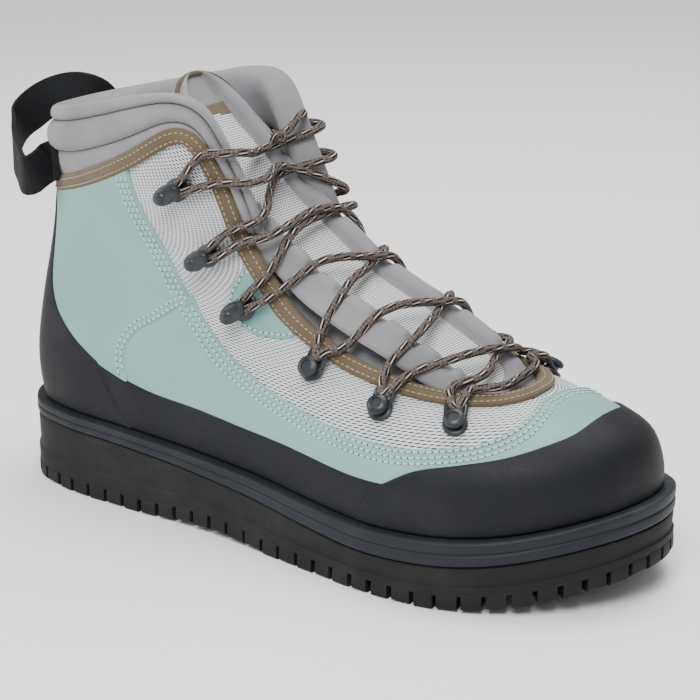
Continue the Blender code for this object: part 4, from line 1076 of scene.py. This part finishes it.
def lace_side(number, side, way):
    """Points of a strand from its hook to the tape's edge; way is 1 where it leaves upwards."""
    seat, to_throat, out = hook_spots[number, side]
    beside_it = np.cross(out, to_throat) * (1 if side == "outer" else -1)
    reach = 5.0 * MM if number < OPEN_HOOKS else 8.5 * MM
    near = seat + to_throat * reach + out * 4.2 * MM + beside_it * 2.3 * MM * way
    spots = loop_points[THROAT]
    nearest = np.linalg.norm(spots - seat - beside_it * way * 5 * MM, axis=1).argmin()
    place = loop[THROAT][nearest]
    ahead = 1 if side == "outer" else -1
    if place[1] < 8.6:
        return near, [surface(place, 4.4 * MM)]
    if place[1] < 9.7:
        return near, [surface(place, 5.4 * MM), surface(place + [0.015 * ahead, 0.1], 6.6 * MM)]
    return near, [surface(place, 5.2 * MM), surface(place + [0.016 * ahead, 0], 7.4 * MM),
                  surface(place + [0.029 * ahead, 0], 7.2 * MM)]


def lace_share(number):
    seat = hook_spots[number, "outer"][0]
    shares = np.linspace(0, 1, TONGUE_ROWS)
    line = tongue_frame(shares)[0]
    return shares[np.linalg.norm(line - seat[[0, 2]], axis=1).argmin()]


def strand(one, two, way=-1):
    """A strand from an outer hook over the tongue to an inner hook."""
    if one != two:
        way = np.sign(one - two)
    far_way = way if one == two else -way
    start, rise = lace_side(one, "outer", way)
    finish, fall = lace_side(two, "inner", far_way)
    share_one, share_two = lace_share(one), lace_share(two)
    crests = []
    near_high, far_high = len(rise) > 1, len(fall) > 1
    for side, mix, edge in ((-1, 0.26, rise[0]), (0.45, 0.48, None), (1.08, 0.57, fall[0])):
        share = share_one + (share_two - share_one) * mix
        over = TONGUE_ROLL + 0.7 * LACE_RADIUS
        if edge is None:
            over += (0.9 if one < two else -0.9) * LACE_RADIUS
            if one == two:
                over -= 0.5 * LACE_RADIUS
        crest = tongue_point(np.array(share), side * 0.72 * tongue_width(share), np.array(over))
        if (side < 0 and near_high) or (side > 1 and far_high):
            continue
        if edge is not None:
            crest[2] = max(crest[2], edge[2])
        crests.append(crest)
    return [start, *rise, *crests, *fall[::-1], finish]


def hook_turn(number, side):
    seat, to_throat, out = hook_spots[number, side]
    back = -3.6 * MM if number < OPEN_HOOKS else 4.6 * MM
    return seat + to_throat * back + out * 3.9 * MM


# The lace's way: outer hook, inner hook, and whether it runs from the outer one to the inner one
hops = [(4, 5, 0), (4, 3, 1), (2, 3, 0), (2, 1, 1), (0, 1, 0), (0, 0, 1), (1, 0, 0), (1, 2, 1),
        (3, 2, 0), (3, 4, 1), (5, 4, 0), (5, 5, 1)]
route = []
for one, two, outwards in hops:
    points = strand(one, two, 1 if (one, two) == (0, 0) else -1)
    first, last = (one, "outer"), (two, "inner")
    if not outwards:
        points, first, last = points[::-1], last, first
    route.append(hook_turn(*first))
    route.extend(points)
route.append(route[0])
lace_path = smooth_line(np.array(route), 2200)
lace = tube("lace_strands", lace_path[:-1], LACE_RADIUS, cord)
dress(lace, "taupe_cord", "lace_bar", "lace_top", *["lace_cross_%d" % n for n in range(1, len(HOOKS))])

knot_at = placed(KNOT_PLACE)
turn = np.linspace(0, 2 * np.pi, 90)
knot_line = np.stack([np.sin(turn) + 2 * np.sin(2 * turn), np.cos(turn) - 2 * np.cos(2 * turn),
                      -np.sin(3 * turn)], -1) * [0.95 * MM, 0.85 * MM, 1.5 * MM]
knot = tube("knot_look", knot_at + knot_line[:-1], 1.5 * MM, cord)
dress(knot, "taupe_cord", "lace_knot")
end_path = smooth_line(np.vstack([knot_at, placed(END_LINE)]), 40)
end_length = float(run_of(end_path)[-1])
end_radius = np.r_[np.full(38, LACE_RADIUS), 0.9 * LACE_RADIUS, 0.6 * LACE_RADIUS]
lace_end = tube("lace_end_look", end_path, end_radius, cord)
tuple(end_path[0])
[tuple(p) for p in end_path]
dress(lace_end, "taupe_cord", "lace_end")

# The tongue: a roll down each side, pinched by the laces, and a fine mesh strip between
shares = np.linspace(0, 1, TONGUE_ROWS)
middle = tongue_frame(shares)[0]
pinch = {}
for sign in (-1, 1):
    near = lace_path[np.abs(lace_path[:, 1] * sign - 20 * MM) < 4 * MM]
    press = np.zeros(TONGUE_ROWS)
    for p in near:
        row = np.linalg.norm(middle - p[[0, 2]], axis=1).argmin()
        press += np.exp(-((np.arange(TONGUE_ROWS) - row) / 2.2)**2)
    pinch[sign] = np.clip(press / max(press.max() * 0.35, 1e-9), 0, 1)
walls = {-1: loop_points[:TOE_STATION], 1: loop_points[TOE_STATION:]}
room, wall_spots = {}, {}
for sign, wall_points in walls.items():
    wall_spots[sign] = [np.linalg.norm(wall_points[:, [0, 2]] - m, axis=1).argmin() for m in middle]
    beyond = np.abs(wall_points[wall_spots[sign], 1])
    beyond = np.convolve(np.pad(beyond, 8, mode="edge"), np.ones(17) / 17, mode="valid")
    widths = tongue_width(shares)
    extra = np.clip(beyond - 1.0 * MM, widths, 1.28 * widths) - widths
    room[sign] = extra * bump_shape(shares / 0.12) * bump_shape((0.72 - shares) / 0.12)
TONGUE_TOP = 0.93


def top_round(share):
    """How much of its width is left where the tongue's end rounds off."""
    return math.sqrt(max(1 - ((share - TONGUE_TOP) / 0.0715)**2, 0.04))


tongue_rows = []
a = np.linspace(-1, 1, 61)
for number, share in enumerate(shares):
    width = tongue_width(share)
    roll = TONGUE_ROLL * np.clip(share / 0.12, 0.25, 1) * (1 - 7 * max(share - 0.9, 0))
    thick = TONGUE_THICKNESS * np.clip((1.02 - share) / 0.06, 0.25, 1)
    squeeze = np.where(a < 0, pinch[-1][number], pinch[1][number])
    height = (1.45 - 0.55 * squeeze) * hump(np.abs(a), 0.50, 0.95) - 0.40
    height = np.where(np.abs(a) > 0.80, np.minimum(height, 0.9 - (np.abs(a) - 0.80) * 11), height)
    under = [(0.84, -1.55 * roll - 0.4 * thick), (0.5, -thick), (0, -thick), (-0.5, -thick),
             (-0.84, -1.55 * roll - 0.4 * thick)]
    extra = np.where(a < 0, room[-1][number], room[1][number])
    spread = a * width + np.sign(a) * bump_shape((np.abs(a) - 0.84) / 0.16) * extra
    narrow = top_round(share) if share > TONGUE_TOP else 1.0
    across = np.r_[spread * narrow, [u[0] * width * narrow for u in under]]
    heights = np.r_[height * roll, [u[1] for u in under]]
    tongue_rows.append(tongue_point(np.full(across.shape, share), across, heights))
tongue = loft("tongue_pad", np.array(tongue_rows), padding, smooth=80)
dress(tongue, "grey_padding", "tongue")
strip_rows = []
for share in np.linspace(0.02, 0.90, 120):
    width = tongue_width(share)
    a = np.linspace(-0.53, 0.53, 17)
    height = 0.45 * MM - TONGUE_ROLL * 0.40 + 0.5 * MM * (1 - (a / 0.53)**2)
    strip_rows.append(tongue_point(np.full(a.shape, share), a * width, height))
strip = loft("tongue_mesh", np.array(strip_rows), fine_mesh, closed=False)
dress(strip, "light_mesh")

for sign, name in ((-1, "outer"), (1, "inner")):
    first = 0 if sign < 0 else TOE_STATION
    gusset_rows = []
    for number in range(4, 150, 2):
        spot = first + wall_spots[sign][number]
        wall_point = surface(moved(loop[spot], loop_in[spot] * 5.0 * MM), -WALL - 1.2 * MM)
        share = shares[number]
        tongue_side = tongue_point(share, sign * 0.70 * tongue_width(share), -0.9 * TONGUE_THICKNESS)
        t = np.linspace(0, 1, 7)[:, None]
        sag = np.sin(math.pi * t) * [0, 0, -2.0 * MM]
        gusset_rows.append(tongue_side * (1 - t) + wall_point * t + sag)
    dress(loft("gusset_" + name, gusset_rows, lining_cloth, closed=False), "grey_padding")

a = np.linspace(-0.50, 0.50, 17)
band = [tongue_point(np.full(a.shape, share), a * tongue_width(share),
                     np.full(a.shape, 0.9 * MM - TONGUE_ROLL * 0.40))
        for share in np.linspace(0.895, 0.925, 6)]
dress(loft("tongue_band", np.array(band), tape, closed=False), "tan_tape")
arc = np.linspace(0.02, math.pi - 0.02, 60)
piping = tongue_point(TONGUE_TOP + 0.068 * np.sin(arc), np.cos(arc) * tongue_width(np.array(0.97)),
                      np.full(60, 0.2 * MM))
dress(tube("tongue_piping", piping, 1.1 * MM, tape), "tan_tape")

# The webbing loop behind the collar
ends = [surface((0.105, 9.45), 2.6 * MM), surface((0.075, 9.15), 3.4 * MM)]
tail = [surface((0.952, 11.5), 6.0 * MM), surface((0.930, 10.8), 4.8 * MM)]
line = smooth_line(np.vstack([ends, placed(PULL_LINE)[1:-3], tail]), 60)
way = unit(np.gradient(line, axis=0))
wide = unit(np.array([0.0, 0.0, 1.0]) - way * way[:, 2:])
out = np.cross(way, wide)
corner = [(-1, -0.6), (-0.97, -1), (0.97, -1), (1, -0.6), (1, 0.6), (0.97, 1), (-0.97, 1), (-1, 0.6)]
rings = [[p + w * LOOP_WIDTH / 2 * a + o * LOOP_THICKNESS / 2 * b for a, b in corner]
         for p, w, o in zip(line, wide, out)]
dress(loft("pull_webbing", np.array(rings), webbing, smooth=50), "black_webbing", "pull_loop")


# The sole
def sole_ring(at, inset, height):
    """A ring of points round the sole, drawn in from its outline, at a height that follows x."""
    points = plan(at, inset)
    return np.stack([points[:, 0] - HEEL_SETBACK, points[:, 1],
                     np.broadcast_to(height(points[:, 0] / LENGTH), at.shape)], -1)


def band_of(profile, low, high, columns=320):
    """A solid band round the sole; profile rows hold how far it is drawn in and its share of height."""
    at = np.arange(columns) / columns
    return skin_of([sole_ring(at, inset * MM, lambda x, s=share: low(x) + (high(x) - low(x)) * s)
                    for inset, share in profile])


def under_midsole(gap):
    return lambda x: sole_top(x) - midsole_height(x) - gap


midsole = [(4.0, 0.0), (1.6, 0.0), (1.0, 0.05), (0.85, 0.12), (0.8, 0.30), (1.0, 0.40), (1.5, 0.445),
           (1.6, 0.475), (1.5, 0.505), (1.0, 0.55), (0.85, 0.62), (0.8, 0.80), (1.0, 0.90), (1.6, 0.96),
           (2.6, 1.0), (5.0, 1.01), (9.0, 1.0)]
midsole_skin = band_of(midsole, under_midsole(0.3 * MM), sole_top)
dress(make_piece("midsole_band", *midsole_skin, foam, smooth=40), "charcoal_foam", "midsole")

wall = [(16.0, -0.06), (2.0, -0.02), (1.3, 0.02), (1.1, 0.10), (1.0, 0.28), (1.1, 0.31), (1.8, 0.345),
        (1.9, 0.38), (1.6, 0.60), (1.4, 0.88), (1.6, 0.94), (2.2, 0.98), (4.0, 1.0)]
parts = [band_of(wall, lambda x: tread_height(x) + LUG_DEPTH, under_midsole(0.6 * MM))]
lug_profile = [(2.0, 8.0), (1.1, 6.6), (0.9, 5.2), (0.9, 1.2), (1.5, 0.3), (2.6, 0.0), (13.2, 0.0),
               (14.4, 0.5), (14.8, 1.8), (14.8, 8.0)]
LUG_STEP = 10.4 * MM          # of the lugs along the sole's edge
BLOCK_STEP = 15.5 * MM        # of the blocks between them, both ways


def edge_lug(first, last, raise_by=0.0):
    sections = []
    for around in np.linspace(first, last, 5):
        ring = []
        for inset, rise in lug_profile:
            x, y = plan(np.array([around]), inset * MM)[0]
            rise = rise * MM + (raise_by if rise < 3 else 0)
            ring.append([x - HEEL_SETBACK, y, tread_height(x / LENGTH) + rise])
        sections.append(ring)
    return skin_of(np.array(sections)[:, ::-1])


rng = np.random.default_rng(7)
for first, last in ((0.0, 0.5), (0.5, 1.0)):
    length = np.linalg.norm(np.diff(plan(np.linspace(first, last, 100)), axis=0), axis=1).sum()
    count = int(round(length / LUG_STEP))
    step = (last - first) / count
    for number in range(count):
        middle = first + (number + 0.5) * step
        half = 0.5 * step * (0.80 + 0.07 * rng.uniform(-1, 1))
        parts.append(edge_lug(middle - half, middle + half, 0.4 * MM * (number % 2)))
plan_rows = np.array(PLAN)
for row, x in enumerate(np.arange(-24 * MM, 240 * MM, BLOCK_STEP)):
    along = (x + HEEL_SETBACK) / LENGTH
    outer, inner = [np.interp(along, plan_rows[:, 0], plan_rows[:, i]) * BALL_WIDTH for i in (1, 2)]
    low, high = -outer + 19 * MM, inner - 19 * MM
    if along < 0.08 or along > 0.93 or high - low < 6 * MM:
        continue
    for y in np.arange(low + 4 * MM, high - 3 * MM, BLOCK_STEP):
        ground = tread_height(along)
        rings = []
        for grow, rise in ((4.6, 8.0), (4.6, 1.0), (4.2, 0.3), (3.4, 0.0)):
            square = np.array([(-1, -1), (1, -1), (1, 1), (-1, 1)]) * grow * MM
            square[:, 0] += 0.35 * square[:, 1] * (1 if row % 2 else -1)
            square += [x, y + (row % 2) * 3 * MM]
            rings.append(np.column_stack([square, np.full(4, ground + rise * MM)]))
        parts.append(skin_of(np.array(rings)[:, ::-1]))
tread = make_piece("tread", *joined(parts), tread_rubber, smooth=35)
dress(tread, "black_rubber", "outsole")
insole_cloth = padding_finish("insole_cloth", (0.05, 0.05, 0.052), (0.03, 0.03, 0.032))
bpy.data.objects["insole"].material_slots[0].material = insole_cloth

# Floor, lights and camera
floor_mesh = bpy.data.meshes.new("floor")
floor_mesh.from_pydata([(-6, -6, 0), (6, -6, 0), (6, 6, 0), (-6, 6, 0)], [], [(0, 1, 2, 3)])
floor_mesh.materials.append(Finish("floor", (0.90, 0.90, 0.90), 0.9).material)
floor = linked("floor", floor_mesh)

world = bpy.data.worlds.new("studio")
bpy.context.scene.world = world
world.use_nodes = True
background = world.node_tree.nodes["Background"]
background.inputs["Color"].default_value = (1, 1, 1, 1)
background.inputs["Strength"].default_value = WORLD_STRENGTH
for name, place, size, power in LIGHTS:
    light = bpy.data.lights.new(name, "AREA")
    light.energy = power
    light.size = size
    lamp = linked(name, light)
    lamp.location = place
    lamp.rotation_euler = (Vector(place) - Vector(CAMERA_TARGET)).to_track_quat("Z", "Y").to_euler()

turn, rise = math.radians(CAMERA_TURN), math.radians(CAMERA_RISE)
away = Vector((math.sin(turn) * math.cos(rise), -math.cos(turn) * math.cos(rise), math.sin(rise)))
camera = linked("camera", bpy.data.cameras.new("camera"))
camera.location = Vector(CAMERA_TARGET) + away * CAMERA_DISTANCE
camera.rotation_euler = away.to_track_quat("Z", "Y").to_euler()
camera.data.sensor_width = SENSOR_WIDTH
camera.data.lens = CAMERA_LENS
camera.data.shift_x, camera.data.shift_y = CAMERA_SHIFT
camera.data.clip_start = 0.01
bpy.context.scene.camera = camera
